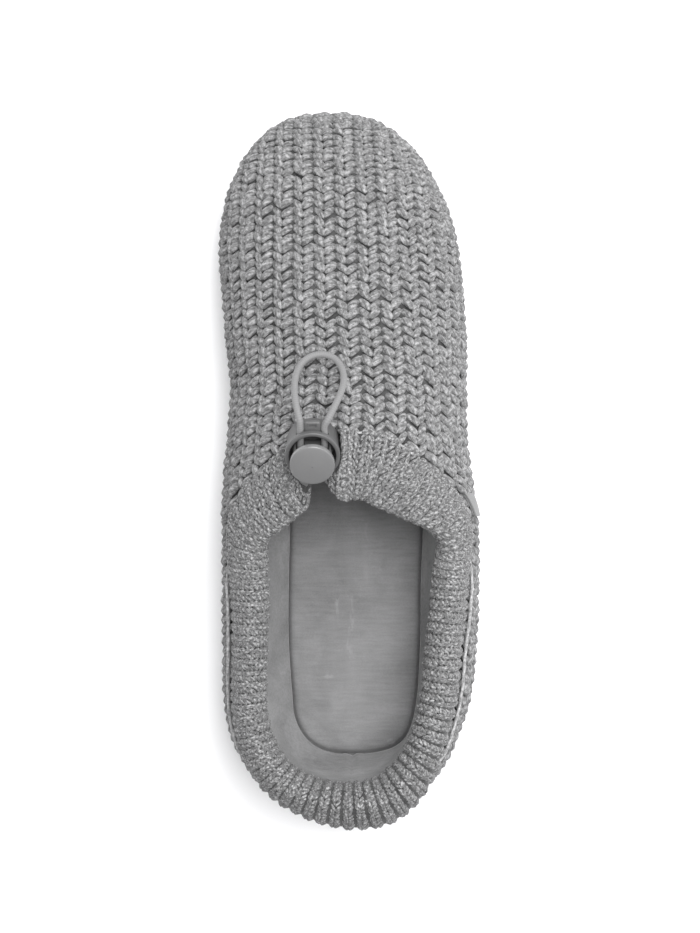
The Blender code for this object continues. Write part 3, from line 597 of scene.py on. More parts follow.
def braidGroup():
    # two sets of strands that cross over and under each other, with painted shade where they dip under each
    # other
    group, given, times, plus = newGroup("crossedStrands", {
        "Dark": (0.3, 0.3, 0.3, 1), "Light": (0.5, 0.5, 0.5, 1), "Across": 6.0, "Along": 3.0,
    })
    thread = threadPlace(group)
    across = times(thread[0], given["Across"])
    along = times(thread[1], given["Along"])
    one = maths(group, "SINE", times(plus(across, along), 2 * pi))
    two = maths(group, "SINE", times(maths(group, "SUBTRACT", across, along), 2 * pi))
    tall = plus(times(times(one, two), 0.5), 0.5)
    fuzz = noise(group, objectPlace(group), 1500.0, Detail=3.0)
    # the colour follows the strands' height, darker in the dips: painted shade between the strands, over
    # random fuzz
    tone = plus(times(tall, 0.6), times(fuzz, 0.45), True)
    return putOut(group, Color=blend(group, tone, given["Dark"], given["Light"]),
                  Height=plus(tall, times(fuzz, 0.3)))


spunYarn = spunYarnGroup()
brushedPile = pileGroup()
mouldedFinish = mouldedGroup()
crossedStrands = braidGroup()


def finish(name, group, values, roughness, bump, distance, sockets):
    # values: the group's inputs in their order, a colour as one grey level
    made = bpy.data.materials.new(name)
    made.use_nodes = True
    tree = made.node_tree
    shader = tree.nodes["Principled BSDF"]
    look = addNode(tree, "ShaderNodeGroup", node_tree=group)
    for socket, value in zip(look.inputs, values):
        socket.default_value = (value, value, value * 1.01, 1) if socket.type == "RGBA" else value
    tree.links.new(look.outputs["Color"], shader.inputs["Base Color"])
    if roughness is None:
        tree.links.new(look.outputs["Roughness"], shader.inputs["Roughness"])
    else:
        shader.inputs["Roughness"].default_value = roughness
    relief = addNode(tree, "ShaderNodeBump", {"Strength": bump, "Distance": distance * mm,
                                              "Height": look.outputs["Height"]})
    tree.links.new(relief.outputs[0], shader.inputs["Normal"])
    for label, value in sockets.items():
        shader.inputs[label].default_value = value
    return made


fabric = {"Specular IOR Level": 0.12, "Sheen Weight": 0.15, "Sheen Roughness": 0.5}
velour = {"Specular IOR Level": 0.15, "Sheen Weight": 0.25, "Sheen Roughness": 0.4}
softVelour = {"Specular IOR Level": 0.15, "Sheen Weight": 0.25, "Sheen Roughness": 0.45}
glossy = {"Specular IOR Level": 0.6, "Coat Weight": 0.5, "Coat Roughness": 0.22}
lookTable = {
    # name: group, its inputs, roughness, bump strength, bump distance in millimetres, shader sockets
    "vampYarn": (spunYarn, (0.055, 0.195, 0.40, 4.0, 0.9, 8.0, 800.0), 0.97, 0.9, 0.4, fabric),
    "cuffYarn": (spunYarn, (0.04, 0.16, 0.42, 2.0, 0.8, 8.0, 1000.0), 0.97, 0.7, 0.22, fabric),
    "edgeYarn": (spunYarn, (0.14, 0.33, 0.58, 3.0, 0.7, 7.0, 900.0), 0.95, 0.8, 0.3, fabric),
    # near-black nap: painted shade for the gaps between the stitches, on the upper and under the roll's
    # stitches
    "knitBackPaintedShade": (brushedPile, (0.02, 0.08, 0.08, 1500.0, 120.0), 1.0, 0.5, 0.4, fabric),
    "velourLining": (brushedPile, (0.14, 0.285, 0.30, 2400.0, 50.0), 1.0, 0.25, 0.25, velour),
    "velourFootbed": (brushedPile, (0.14, 0.24, 0.30, 2200.0, 38.0), 1.0, 0.3, 0.3, softVelour),
    "soleRubber": (mouldedFinish, (0.085, 0.17, 900.0, 0.6), 0.7, 0.35, 0.3, {"Specular IOR Level": 0.4}),
    "lockPlastic": (mouldedFinish, (0.075, 0.12, 1400.0, 0.5), None, 0.12, 0.1, {"Specular IOR Level": 0.5}),
    "buttonPlastic": (mouldedFinish, (0.12, 0.17, 1100.0, 0.5), None, 0.1, 0.1, glossy),
    "elasticCord": (crossedStrands, (0.14, 0.21, 8.0, 3.0), 0.7, 0.25, 0.08,
                    {"Specular IOR Level": 0.35, "Sheen Weight": 0.1}),
    "tabTape": (crossedStrands, (0.13, 0.24, 9.0, 9.0), 0.85, 0.4, 0.1, fabric),
    "tabLight": (crossedStrands, (0.28, 0.42, 9.0, 9.0), 0.85, 0.3, 0.1, fabric),
}
looks = {name: finish(name, *row) for name, row in lookTable.items()}
print("materials made:", len(looks))

# Camera straight above, as in the photograph; one metre up
photo = {
    "distance": 1.0,
    "centreX": 1.0 * mm,
    "pixelsPerMetre": 2448.0,  # at the floor
    "height": 933,
    "sensor": 36.0,
}
camera = bpy.data.objects.new("camera", bpy.data.cameras.new("camera"))
camera.data.sensor_width = photo["sensor"]
seenHeight = photo["height"] / photo["pixelsPerMetre"]
camera.data.lens = photo["sensor"] * photo["distance"] / seenHeight
camera.location = (photo["centreX"], 0, photo["distance"])
sceneCollection.objects.link(camera)
bpy.context.scene.camera = camera

worldStrength = 0.34
light = {
    # name: place, size, power; all soft
    "overhead": ((0.15, 0.15, 1.2), 0.7, 18.0),
    "toeSide": ((0.3, 0.8, 0.85), 0.8, 7.0),
    "outerSide": ((0.9, -0.2, 0.8), 1.0, 6.5),
    "innerSide": ((-0.9, -0.1, 0.8), 1.0, 3.5),
}
for name, (place, size, power) in light.items():
    lamp = bpy.data.lights.new(name, "AREA")
    lamp.size = size
    lamp.energy = power
    placed = bpy.data.objects.new(name, lamp)
    placed.location = place
    placed.rotation_euler = (-Vector(place)).to_track_quat("-Z", "Y").to_euler()
    sceneCollection.objects.link(placed)
world = bpy.data.worlds.new("studio")
world.use_nodes = True
world.node_tree.nodes["Background"].inputs["Color"].default_value = (1, 1, 1, 1)
world.node_tree.nodes["Background"].inputs["Strength"].default_value = worldStrength
bpy.context.scene.world = world
bpy.context.scene.view_settings.view_transform = "Standard"

floorForm = {"half": 4.0, "grey": 0.92, "worn": 0.985}


def makeFloor():
    xs = np.linspace(-floorForm["half"], floorForm["half"], 3)
    grid = np.array([[(x, y, 0) for x in xs] for y in xs])
    level = floorForm["grey"]
    values = (level, level * floorForm["worn"], 40.0, 0.4)
    look = finish("paleFloor", mouldedFinish, values, 0.9, 0.02, 0.1, {})
    floor = bpy.data.objects.new("floor", gridMesh("floor", grid))
    floor.data.materials.append(look)
    sceneCollection.objects.link(floor)


makeFloor()
print("camera, light and floor set")


def smoothRoute(knots, pitch):
    knots = np.array(knots, float)
    dense = splineAt(knots, np.linspace(0, len(knots) - 1, 24 * (len(knots) - 1) + 1))
    return resampled(dense, dense, int(round(lengthAlong(dense)[-1] / pitch)) + 1)


def cordRoute():
    # from the collar's inner end through the lock, round the loop and back to its outer end
    place = lockMatrix()
    reach = lock["radius"] + cordForm["straight"]

    def through(side, ahead):
        return tuple(place @ Vector((side * cordForm["spread"], ahead, cordForm["level"])))

    def cuffEnd(which, entry, onward):
        point = cuffPoint(*cuffStations[which], *entry)
        return [tuple(point + cuffStations[which][2] * onward * run)
                for run in (cordForm["endGap"], cordForm["endRun"])]

    knots = cuffEnd(-1, cordForm["entryInner"], 1)
    knots += [through(-1, a) for a in (-reach, -reach / 2, 0, reach / 2, reach)]
    knots += [[v * mm for v in p] for p in cordForm["loop"]]
    knots += [through(1, a) for a in (reach, reach / 2, 0, -reach / 2, -reach)]
    knots += cuffEnd(0, cordForm["entryOuter"], -1)[::-1]
    return smoothRoute(knots, cordForm["pitch"])


def roundTube(name, route, radius, sides, uvSize=0.005):
    # a smooth round tube along a route, with the thread UV map round and along it
    along = unit(np.gradient(route, axis=0))
    side = unit(np.cross(along, (0.0, 0.0, 1.0)))
    for i in range(1, len(route)):  # keeps the tube from turning over
        side[i] = unit(side[i - 1] - along[i] * np.dot(side[i - 1], along[i]))
    normals = np.cross(side, along)
    ends = radius * np.array([0.55, 0.9] + [1.0] * (len(route) - 4) + [0.9, 0.55])
    return tubes(name, route[None], normals[None], ends[None], ends[None], sides, [0.0], uvSize)


def makeDrawcord():
    route = cordRoute()
    fine = splineAt(route, np.linspace(0, len(route) - 1, 4 * (len(route) - 1) + 1))
    mesh = roundTube("elasticDrawcord", fine, cordForm["diameter"] / 2, 24)
    cord = addObject("elasticDrawcord", mesh, looks["elasticCord"], stands=["drawcord"])


makeDrawcord()


# The knit of the vamp: lines of stitches at an even distance from the ridge
vampKnit = {
    "pitch": 9.0 * mm,  # width of one column of stitches
    "toePitch": 8.1 * mm,
    "row": 3.9 * mm,
    "toeRow": 3.5 * mm,
    "legWide": 1.56 * mm,  # half the width of one leg of a stitch
    "legTall": 1.25 * mm,
    "climb": 1.2,  # rows that one leg climbs
    "loose": 1.3,  # unevenness of the stitches
    "relief": 1.9 * mm,  # how deep the lines between columns lie
    "sink": 0.9 * mm,  # middle of the yarn under the outline of the shoe
    "sideProud": 1.3 * mm,  # the sides behind the instep stand a little prouder, outside the roll
    "proudFrom": 0.54,
    "proudOver": 0.12,
    "turnShare": 0.60,
    "heelShare": 0.16,
    "toeShare": 0.96,
    "frontShare": 0.56,  # where vampKnit ends and quarterKnit begins
    "columns": 12,  # each way from the ridge
    "ridgeColumns": 1.2,  # the columns beside the ridge may pass over it
    "overRidge": 3.0 * mm,
    "heelRows": 62,
    "toeRows": 52,
}
ridgeShift = {
    # where the line between two middle columns runs beside the ridge, in millimetres
    "share":  (0.50, 0.66, 0.80, 0.90, 1.00),
    "beside": (-3.8, -3.6, -1.6, 0.1, 0.8),
}


def sectionArcs(shares, samples=180):
    found = {}
    for side, end in ((-1, -1.0), (1, pi + 1)):
        angles = np.linspace(pi / 2, end, samples)
        found[side] = angles, lengthAlong(upperPoint(shares[:, None], angles[None, :]))
    return found


def vampLattice(per=4):
    # stations and angles of a net of columns (across) and rows (along) over the whole upper
    shares = stationShares(420)[1:-1]
    arcs = sectionArcs(shares)
    turn = int(np.argmin(np.abs(shares - vampKnit["turnShare"])))
    heel = int(np.argmin(np.abs(shares - vampKnit["heelShare"])))
    toeward = np.clip((shares - shares[turn]) / (vampKnit["toeShare"] - shares[turn]), 0, 1)
    pitch = vampKnit["pitch"] + toeward * (vampKnit["toePitch"] - vampKnit["pitch"])
    row = vampKnit["row"] + toeward * (vampKnit["toeRow"] - vampKnit["row"])
    beside = tableValue(ridgeShift, "beside", shares) * mm
    columns = np.arange(-vampKnit["columns"] * per, vampKnit["columns"] * per + 1) / per
    rows = np.arange(-vampKnit["heelRows"] * per, vampKnit["toeRows"] * per + 1) / per
    net = np.full((len(columns), len(rows), 2), np.nan)
    reach = np.full((len(columns), 2), np.nan)
    for c, column in enumerate(columns):
        signed = column * pitch + beside
        side = 1 if signed[turn] >= 0 else -1
        angles, arc = arcs[side]
        girth = arc[:, -1]
        away = signed * side
        fromFeather = girth[turn] - away[turn]
        held = np.maximum(np.arange(len(shares)), heel)
        back = girth - fromFeather * girth[held] / girth[turn]
        away = np.where(shares < shares[turn], back, away)
        overRidge = vampKnit["overRidge"] if column * side < vampKnit["ridgeColumns"] else 0
        good = (away < girth) & (away > -overRidge)
        good[:turn] &= np.flip(np.logical_and.accumulate(np.flip(good[:turn])))
        good[turn:] = np.logical_and.accumulate(good[turn:])
        if not good[turn]:
            continue
        use = np.nonzero(good)[0]
        mirror = arcs[-side]
        found = np.array([np.interp(away[k], arc[k], angles) if away[k] >= 0
                          else np.interp(-away[k], mirror[1][k], mirror[0]) for k in use])
        line = upperPoint(shares[use], found)
        steps = np.linalg.norm(np.diff(line, axis=0), axis=1) / ((row[use][1:] + row[use][:-1]) / 2)
        count = np.concatenate([[0], np.cumsum(steps)])
        count -= count[int(np.nonzero(use == turn)[0][0])]
        net[c, :, 0] = np.interp(rows, count, shares[use])
        net[c, :, 1] = np.interp(rows, count, found)
        reach[c] = count[0], count[-1]
    empty = np.isnan(net[..., :1])
    points = np.where(empty, 0, upperPoint(net[..., 0], net[..., 1]))
    normals = np.where(empty, 0, surfaceNormal(net[..., 0], net[..., 1]))
    return {"columns": columns, "rows": rows, "points": points, "normals": normals, "per": per}, net, reach


def insideSeam(share, angle):
    # true where a station and angle fall in the opening
    loop = theSeam
    x0, y0 = loop[:, 0], loop[:, 1]
    x1, y1 = np.roll(x0, -1), np.roll(y0, -1)
    share, angle = np.asarray(share)[..., None], np.asarray(angle)[..., None]
    with np.errstate(divide="ignore", invalid="ignore"):
        crosses = ((y0 > angle) != (y1 > angle)) & (share < (x1 - x0) * (angle - y0) / (y1 - y0) + x0)
    return crosses.sum(-1) % 2 == 1


def latticeOf(points, normals, per=4):
    return {"columns": np.arange(points.shape[0]) / per, "rows": np.arange(points.shape[1]) / per,
            "points": points, "normals": normals, "per": per}


def latticeAt(values, lattice, column, row):
    # value of a net at a column and row, between its lines
    per = lattice["per"]
    u = np.clip((column - lattice["columns"][0]) * per, 0, len(lattice["columns"]) - 1.001)
    v = np.clip((row - lattice["rows"][0]) * per, 0, len(lattice["rows"]) - 1.001)
    i, j = np.floor(u).astype(int), np.floor(v).astype(int)
    s, t = (u - i)[..., None], (v - j)[..., None]
    return ((values[i, j] * (1 - s) + values[i + 1, j] * s) * (1 - t)
            + (values[i, j + 1] * (1 - s) + values[i + 1, j + 1] * s) * t)


legShape = {
    # along one leg of a stitch, from the middle of its column out and towards the next row
    "t":     (0.00, 0.07, 0.22, 0.42, 0.62, 0.80, 0.93, 1.00),
    "width": (0.35, 0.72, 0.95, 1.02, 1.00, 0.92, 0.70, 0.30),
    "lift":  (-0.75, -0.30, 0.02, 0.10, 0.06, -0.05, -0.40, -0.80),
    # where a leg starts beside the column's middle, how far out it goes and how it bows, in stitches
    "start": 0.02,
    "reach": 0.47,
    "bow": 0.07,
    "mapScale": 2.5,
}
uneven = {
    # how far the stitches stray in each way, and how far at most
    "limit": 1.7,
    "sizeLimit": 2.0,
    "spread": 0.018,
    "row": 0.06,
    "lift": 0.09,
    "size": 0.08,
}


def stitchLegs(name, lattice, cells, knit, look, seed, sides=8):
    # two legs for each stitch; cells are the middles of its column and row, and where they have
    # further columns, how proud the stitch stands and how deep the line beside it is
    random = np.random.default_rng(seed)
    t, width, lift = (np.array(legShape[key]) for key in ("t", "width", "lift"))
    cells = np.repeat(cells, 2, axis=0)
    proud = cells[:, 2:3] if cells.shape[1] > 2 else 0.0
    groove = cells[:, 3:4] if cells.shape[1] > 3 else 1.0
    side = np.tile([-1.0, 1.0], len(cells) // 2)[:, None]
    wobble = np.clip(random.normal(0, 1, (len(cells), 4)), -uneven["limit"], uneven["limit"]) * knit["loose"]
    spreadOut = legShape["start"] + legShape["reach"] * t + uneven["spread"] * wobble[:, :1]
    column = cells[:, :1] + side * spreadOut
    rise = knit["climb"] * (t - 0.5) + legShape["bow"] * np.sin(pi * t)
    row = cells[:, 1:2] + rise + uneven["row"] * wobble[:, 1:2]
    place = latticeAt(lattice["points"], lattice, column, row)
    normal = unit(latticeAt(lattice["normals"], lattice, column, row))
    valley = (np.cos(2 * pi * spreadOut) - 1) / 2 * knit["relief"] * groove
    depth = valley + proud - knit["sink"] + lift * knit["legTall"]
    depth = depth + uneven["lift"] * knit["legTall"] * wobble[:, 2:3]
    centre = place + normal * depth[..., None]
    size = width * (1 + uneven["size"] * np.clip(wobble[:, 3:4], -uneven["sizeLimit"], uneven["sizeLimit"]))
    shift = random.uniform(0, 40, len(cells))
    mesh = tubes(name, centre, normal, size * knit["legWide"], size * knit["legTall"], sides, shift,
                 legShape["mapScale"] * knit["legWide"])
    return addObject(name, mesh, looks[look])


def singleColumn(first, last):
    return np.array([(0.5, row) for row in np.arange(first, last)])


def makeVampKnit():
    lattice, net, reach = vampLattice()
    cells = []
    for column in np.arange(0.5 - vampKnit["columns"], vampKnit["columns"]):
        c = int(round((column - lattice["columns"][0]) * lattice["per"]))
        around = reach[max(c - 1, 0):c + 2]
        if np.isnan(around).any():
            continue
        low, high = around[:, 0].max(), around[:, 1].min()
        for row in np.arange(1 - vampKnit["heelRows"], vampKnit["toeRows"] - 1):
            share, angle = latticeAt(net, lattice, np.array([column]), np.array([row + 0.0]))[0]
            if low + 0.2 < row < high - 0.1 and not insideSeam(share, angle):
                cells.append((column, row, share))
    cells = np.array(cells)
    front = cells[:, 2] > vampKnit["frontShare"]
    proud = np.clip((vampKnit["proudFrom"] - cells[:, 2]) / vampKnit["proudOver"], 0, 1)
    cells = np.column_stack([cells[:, :2], proud * vampKnit["sideProud"]])
    for name, chosen, seed in (("vampKnit", front, 11), ("quarterKnit", ~front, 12)):
        made = stitchLegs(name, lattice, cells[chosen], vampKnit, "vampYarn", seed)
        print(name, "stitches:", int(chosen.sum()), "faces:", len(made.data.polygons))


makeVampKnit()


# Stitches that finish the upper: a course along the sole and a column up the heel
edgeKnit = {
    "row": 3.7 * mm,
    "welt": 8.6 * mm,  # width of the course along the sole
    "heel": 9.0 * mm,
    "heelTop": 33.0 * mm,
    "legWide": 1.42 * mm,
    "legTall": 1.3 * mm,
    "climb": 1.35,
    "loose": 1.5,
    "relief": 1.3 * mm,
    "sink": 0.45 * mm,
}


def levelLoops(heights, count=500):
    # all round the upper at each height over the feather line, from the heel up the inner side
    shares = stationShares(count)[1:-1]
    sides = []
    for end in (-1.0, pi + 1):
        angles = np.linspace(end, pi / 2, 160)
        over = upperPoint(shares[:, None], angles)[..., 2] - featherHeight(shares)[:, None]
        sides.append([np.array([(share, np.interp(height, row, angles))
                                for share, row in zip(shares, over) if row[-1] > height])
                      for height in heights])
    return [np.concatenate([inner, outer[::-1]]) for inner, outer in zip(*sides)]


def gridNormals(points):
    return unit(np.cross(np.gradient(points, axis=0), np.gradient(points, axis=1)))


def makeEdgeStitches(per=4):
    loops = levelLoops(np.linspace(0.05 * mm, edgeKnit["welt"], per + 1))
    ways = [upperPoint(loop[:, 0], loop[:, 1]) for loop in loops]
    count = int(lengthAlong(ways[0])[-1] / edgeKnit["row"])
    net = np.array([resampled(loop, way, count * per + 1) for loop, way in zip(loops, ways)])
    share, angle = net[..., 0], net[..., 1]
    lattice = latticeOf(upperPoint(share, angle), surfaceNormal(share, angle))
    made = stitchLegs("weltStitches", lattice, singleColumn(0.6, count - 0.5), edgeKnit, "vampYarn", 41)

    heights = np.arange(1.0 * mm, edgeKnit["heelTop"], edgeKnit["row"] / per)
    wanted = np.linspace(-0.5, 0.5, per + 1) * edgeKnit["heel"]
    beside = 60
    lines = []
    for loop in levelLoops(heights, 700):
        path = upperPoint(loop[:, 0], loop[:, 1])
        half = len(path) // 2
        near = np.roll(path, half, axis=0)[half - beside:half + beside]
        arc = lengthAlong(near)
        lines.append(linesAt(wanted, [arc - arc[beside]], [near])[0])
    points = np.array(lines).transpose(1, 0, 2)
    normals = gridNormals(points)
    normals *= -np.sign(normals[..., 1].mean())
    cells = singleColumn(0.6, (len(heights) - 1) / per - 0.5)
    made = stitchLegs("heelStitches", latticeOf(points, normals), cells, edgeKnit, "vampYarn", 42)


makeEdgeStitches()


# Cloth behind the stitches, the wall of the upper; its outer layer is near black, painted shade that shows in
# the gaps between the stitches
def makeKnitBack():
    shares = stationShares(150)[1:-1]
    angles = np.concatenate([np.linspace(-1, 0, 8, endpoint=False), np.linspace(0, pi, 100),
                             np.linspace(pi, pi + 1, 9)[1:]])
    share, angle = np.meshgrid(shares, angles, indexing="ij")
    face = upperPoint(share, angle)
    normal = surfaceNormal(share, angle)
    keep = ~insideSeam(share, angle)
    for depth, name, look in ((2.3, "knitBackPaintedShade", "knitBackPaintedShade"), (2.9, "innerBack", "velourLining")):
        mesh = gridMesh(name, face - normal * depth * mm, keep=keep)
        made = addObject(name, mesh, looks[look], stands=["upper"])


makeKnitBack()
print("cloth behind the knit made")
print("cloth behind the knit made")

# The padded roll and its fine rib
cuffKnit = {
    "pitch": 4.6 * mm,
    "row": 2.45 * mm,
    "legWide": 0.74 * mm,
    "legTall": 0.74 * mm,
    "relief": 1.0 * mm,
    "sideGroove": 0.85,  # depth of the lines between ribs at the sides, and what the heel adds
    "heelGroove": 0.8,
    "sink": 0.4 * mm,
    "climb": 1.9,
    "loose": 1.4,
    "lastSection": 9.9,  # how far round the section the stitches go
    "sideRibs": 1.07,  # more ribs at the sides, fewer where they fan out round the heel
    "heelRibs": -0.25,
    "fanWidth": 0.13,
}


def cuffSurface(at, around):
    # points of the roll at positions along the way and round its section
    rings = splineAt(cuffRings, at)
    return clearOfLock(splineAt(rings.transpose(1, 0, 2), around).transpose(1, 0, 2))


def fanned(share):
    # one at the middle of the heel, where the ribs fan out, and nothing at the sides
    return np.exp(-((share - 0.5) / cuffKnit["fanWidth"]) ** 2)


def cuffLattice(per=4):
    base = cuffRings[:, 3]
    steps = np.linalg.norm(np.diff(base, axis=0), axis=1)
    fan = fanned((np.arange(len(steps)) + 0.5) / len(steps))
    steps = steps * (cuffKnit["sideRibs"] + cuffKnit["heelRibs"] * fan)
    length = np.concatenate([[0], np.cumsum(steps)])
    ribs = int(round(length[-1] / cuffKnit["pitch"]))
    columns = np.arange(ribs * per + 1) / per
    at = np.interp(columns / ribs * length[-1], length, np.arange(len(base)))
    fine = cuffSurface(at, np.linspace(0, cuffKnit["lastSection"], 161))
    arc = lengthAlong(fine)
    rows = np.arange(int(arc[:, -1].max() / cuffKnit["row"]) * per + 1) / per
    points = linesAt(rows * cuffKnit["row"], arc, fine)
    stuck = np.linalg.norm(np.gradient(points, axis=1), axis=2) < 1e-7
    normals = gridNormals(points)
    # the last rows of a short section stay at its end
    for i in range(len(at)):
        good = np.nonzero(~stuck[i])[0]
        normals[i, good[-1]:] = normals[i, good[-2]]
    centre = cuffRings[:, [2, 8]].mean(1)
    outward = points[:, 4] - splineAt(centre, np.linspace(0, len(centre) - 1, len(columns)))
    if (outward * normals[:, 4]).sum(1).mean() < 0:
        normals = -normals
    return latticeOf(points, normals), arc[:, -1] / cuffKnit["row"], ribs


def makeCuffKnit():
    lattice, reach, ribs = cuffLattice()
    cells = []
    for column in np.arange(ribs) + 0.5:
        groove = cuffKnit["sideGroove"] + fanned(column / ribs) * cuffKnit["heelGroove"]
        for row in np.arange(0.0, reach[int(round(column * lattice["per"]))] - 0.3):
            cells.append((column, row, 0.0, groove))
    cells = np.array(cells)
    outer = cells[:, 0] < ribs / 2
    for name, chosen, seed in (("cuffKnitOuter", outer, 21), ("cuffKnitInner", ~outer, 22)):
        made = stitchLegs(name, lattice, cells[chosen], cuffKnit, "cuffYarn", seed, sides=6)
        print(name, "stitches:", int(chosen.sum()), "faces:", len(made.data.polygons))
    return lattice


cuffNet = makeCuffKnit()
padForm = {"depth": 1.1 * mm, "depthShare": 0.3, "slices": 240, "around": 85}


def makeCuffPad():
    # the roll under the stitches, a little inside them, closed at both ends; coloured near black, painted
    # shade that shows between the stitches
    closed = np.concatenate([cuffRings, cuffRings[:, :1]], 1)
    rings = splineAt(closed, np.linspace(0, len(closed) - 1, padForm["slices"]))
    around = np.linspace(0, closed.shape[1] - 1, padForm["around"])[:-1]
    fine = splineAt(rings.transpose(1, 0, 2), around).transpose(1, 0, 2)
    middle = fine.mean(1, keepdims=True)
    inward = middle - fine
    far = np.linalg.norm(inward, axis=2)[..., None]
    fine = clearOfLock(fine + inward / far * np.minimum(padForm["depth"], far * padForm["depthShare"]))
    ends = [[middle[i] + (fine[i] - middle[i]) * k for k in (0.02, 0.5)] for i in (0, -1)]
    fine = np.concatenate([ends[0], fine, ends[1][::-1]])
    made = addObject("cuffPad", gridMesh("cuffPad", fine, closeAcross=True), looks["knitBackPaintedShade"],
                     stands=["cuff"])


makeCuffPad()
print("padded roll made")

# Footbed and lining
inside = {
    "footbedThick": 7.0 * mm,
    "rimRow": (0.30, -0.80),  # where the lining meets the roll, as a row of its section
    # where the lining ends on the footbed, in millimetres
    "footLine": (
        (31.0, 26.0), (31.0, 0.0), (30.2, -22.0), (29.2, -48.0), (29.0, -69.0), (27.6, -92.0),
        (24.6, -105.0), (19.5, -111.0), (12.0, -113.6), (3.4, -114.4), (-5.4, -114.0),
        (-12.0, -111.8), (-17.4, -107.0), (-21.0, -99.5), (-22.0, -90.0), (-23.4, -69.0),
        (-23.4, -48.0), (-22.9, -22.0), (-23.0, 0.0), (-23.0, 26.0),
    ),
    # and on round the toe, under the vamp
    "toeLine": (
        (-26.0, 38.0), (-32.0, 55.0), (-34.0, 78.0), (-32.5, 100.0), (-23.0, 118.0), (-6.5, 124.5),
        (10.0, 119.0), (22.5, 102.0), (28.5, 78.0), (30.8, 52.0),
    ),
    "footLift": 2.4 * mm,  # the lining's padded lower edge over the footbed
    "seat": 0.74,  # share of the footbed's thickness that the lining stands on
    "wrinkle": 0.9 * mm,
    "sag": 2.6 * mm,  # how far the soft wall bellies outward
    "seamX": 1.8 * mm,  # upright seam at the heel
    "seamWide": 0.9 * mm,
    "seamDeep": 0.9 * mm,
    "ridgeBeside": 2.2 * mm,
    "ridgeWide": 1.2 * mm,
    "ridgeTall": 0.35 * mm,
    "seamEndY": -90.0 * mm,
    "frontY": 26.0 * mm,  # how far forward the lining's sides go, under the vamp
    "frontAngle": 0.35,
    "frontGap": 14.0 * mm,
    "underEdge": ((0.5, 0.7), (1.5, 1.5), (2.4, 3.0), (2.8, 4.4)),  # back and down, in millimetres
    "behindVamp": 4.0 * mm,
    "wayCut": 0.13,  # share of the roll at each end that carries no lining
}
footbedForm = {
    # inset from the upper's wall in millimetres, and height as a share of the thickness
    "edge": ((0.0, 0.02), (0.0, 0.70), (0.6, 0.90), (2.0, 0.98), (4.5, 0.93), (8.0, 0.72)),
    # the pad inside the lining, its edge rounded down into the crease: how far outside the lining's
    # foot line in millimetres, and height
    "pad": ((1.6, 0.30), (0.4, 0.28), (-0.2, 0.44), (-0.7, 0.60), (-1.6, 0.71), (-3.0, 0.76),
            (-8.0, 0.76)),
    "middle": 0.755,
    "ripple": 0.22 * mm,
    "rippledRings": 6,
}


def edgesByY(ring):
    # the two halves of a closed outline that starts at its lowest y
    half = len(ring) // 2
    for side in (ring[:half + 1], ring[half:]):
        order = np.argsort(side[:, 1])
        yield side[order, 1], side[order, 0]


def makeFootbed():
    rings = []
    for inset, height in footbedForm["edge"]:
        plan, _ = featherRing(-form["wall"] - form["fitGap"] - inset * mm)
        rings.append((evenedLoop(plan), height))
    knots = np.array(inside["footLine"] + inside["toeLine"])
    knots = np.concatenate([knots[-2:], knots, knots[:3]]) * mm
    pad = splineAt(knots, np.linspace(2, len(knots) - 3, 900))[:-1][::-1]
    pad = evenedLoop(np.roll(pad, -int(np.argmin(pad[:, 1])), axis=0))
    rings += [(pad + sideways(pad) * offset * mm, height) for offset, height in footbedForm["pad"]]
    wide = rings[-1][0]
    ys = np.linspace(wide[:, 1].min() + 1e-4, wide[:, 1].max() - 1e-4, 60)
    right, left = (np.interp(ys, *edge) for edge in edgesByY(wide))
    spine = np.column_stack([np.interp(wide[:, 1], ys, (right + left) / 2), wide[:, 1]])
    for k in (0.25, 0.5, 0.75):
        rings.append((wide + (spine - wide) * np.array([k, 0.3 * k]), footbedForm["middle"]))
    points = np.empty((len(rings), len(pad), 3))
    for ring, (plan, height) in zip(points, rings):
        ring[:, :2] = plan
        ring[:, 2] = featherHeight(np.clip(shareAt(plan[:, 1]), 0, 1)) + height * inside["footbedThick"]
    x, y = points[..., 0], points[..., 1]
    ripple = np.sin(x * 140 + 2 * np.sin(y * 90)) * np.sin(y * 120 + 1.3) * footbedForm["ripple"]
    points[-footbedForm["rippledRings"]:, :, 2] += ripple[-footbedForm["rippledRings"]:]
    mesh = gridMesh("velourFootbed", points, closeAcross=True)
    made = addObject("velourFootbed", mesh, looks["velourFootbed"], stands=["insole"])
    closeHole(mesh, len(points[0]), len(points) - 1)
    closeHole(mesh, len(points[0]), 0, True)


def closeHole(mesh, count, ring, reverse=False):
    # strips across a ring whose vertex i faces vertex count - i
    work = bmesh.new()
    work.from_mesh(mesh)
    work.verts.ensure_lookup_table()
    at = work.verts
    half = count // 2
    loops = [[0, 1, count - 1]]
    loops += [[i, i + 1, count - i - 1, count - i] for i in range(1, half - 1)]
    loops.append([half - 1, half, half + 1])
    for loop in loops:
        order = loop[::-1] if reverse else loop
        work.faces.new([at[ring * count + k] for k in order]).smooth = True
    work.to_mesh(mesh)
    work.free()


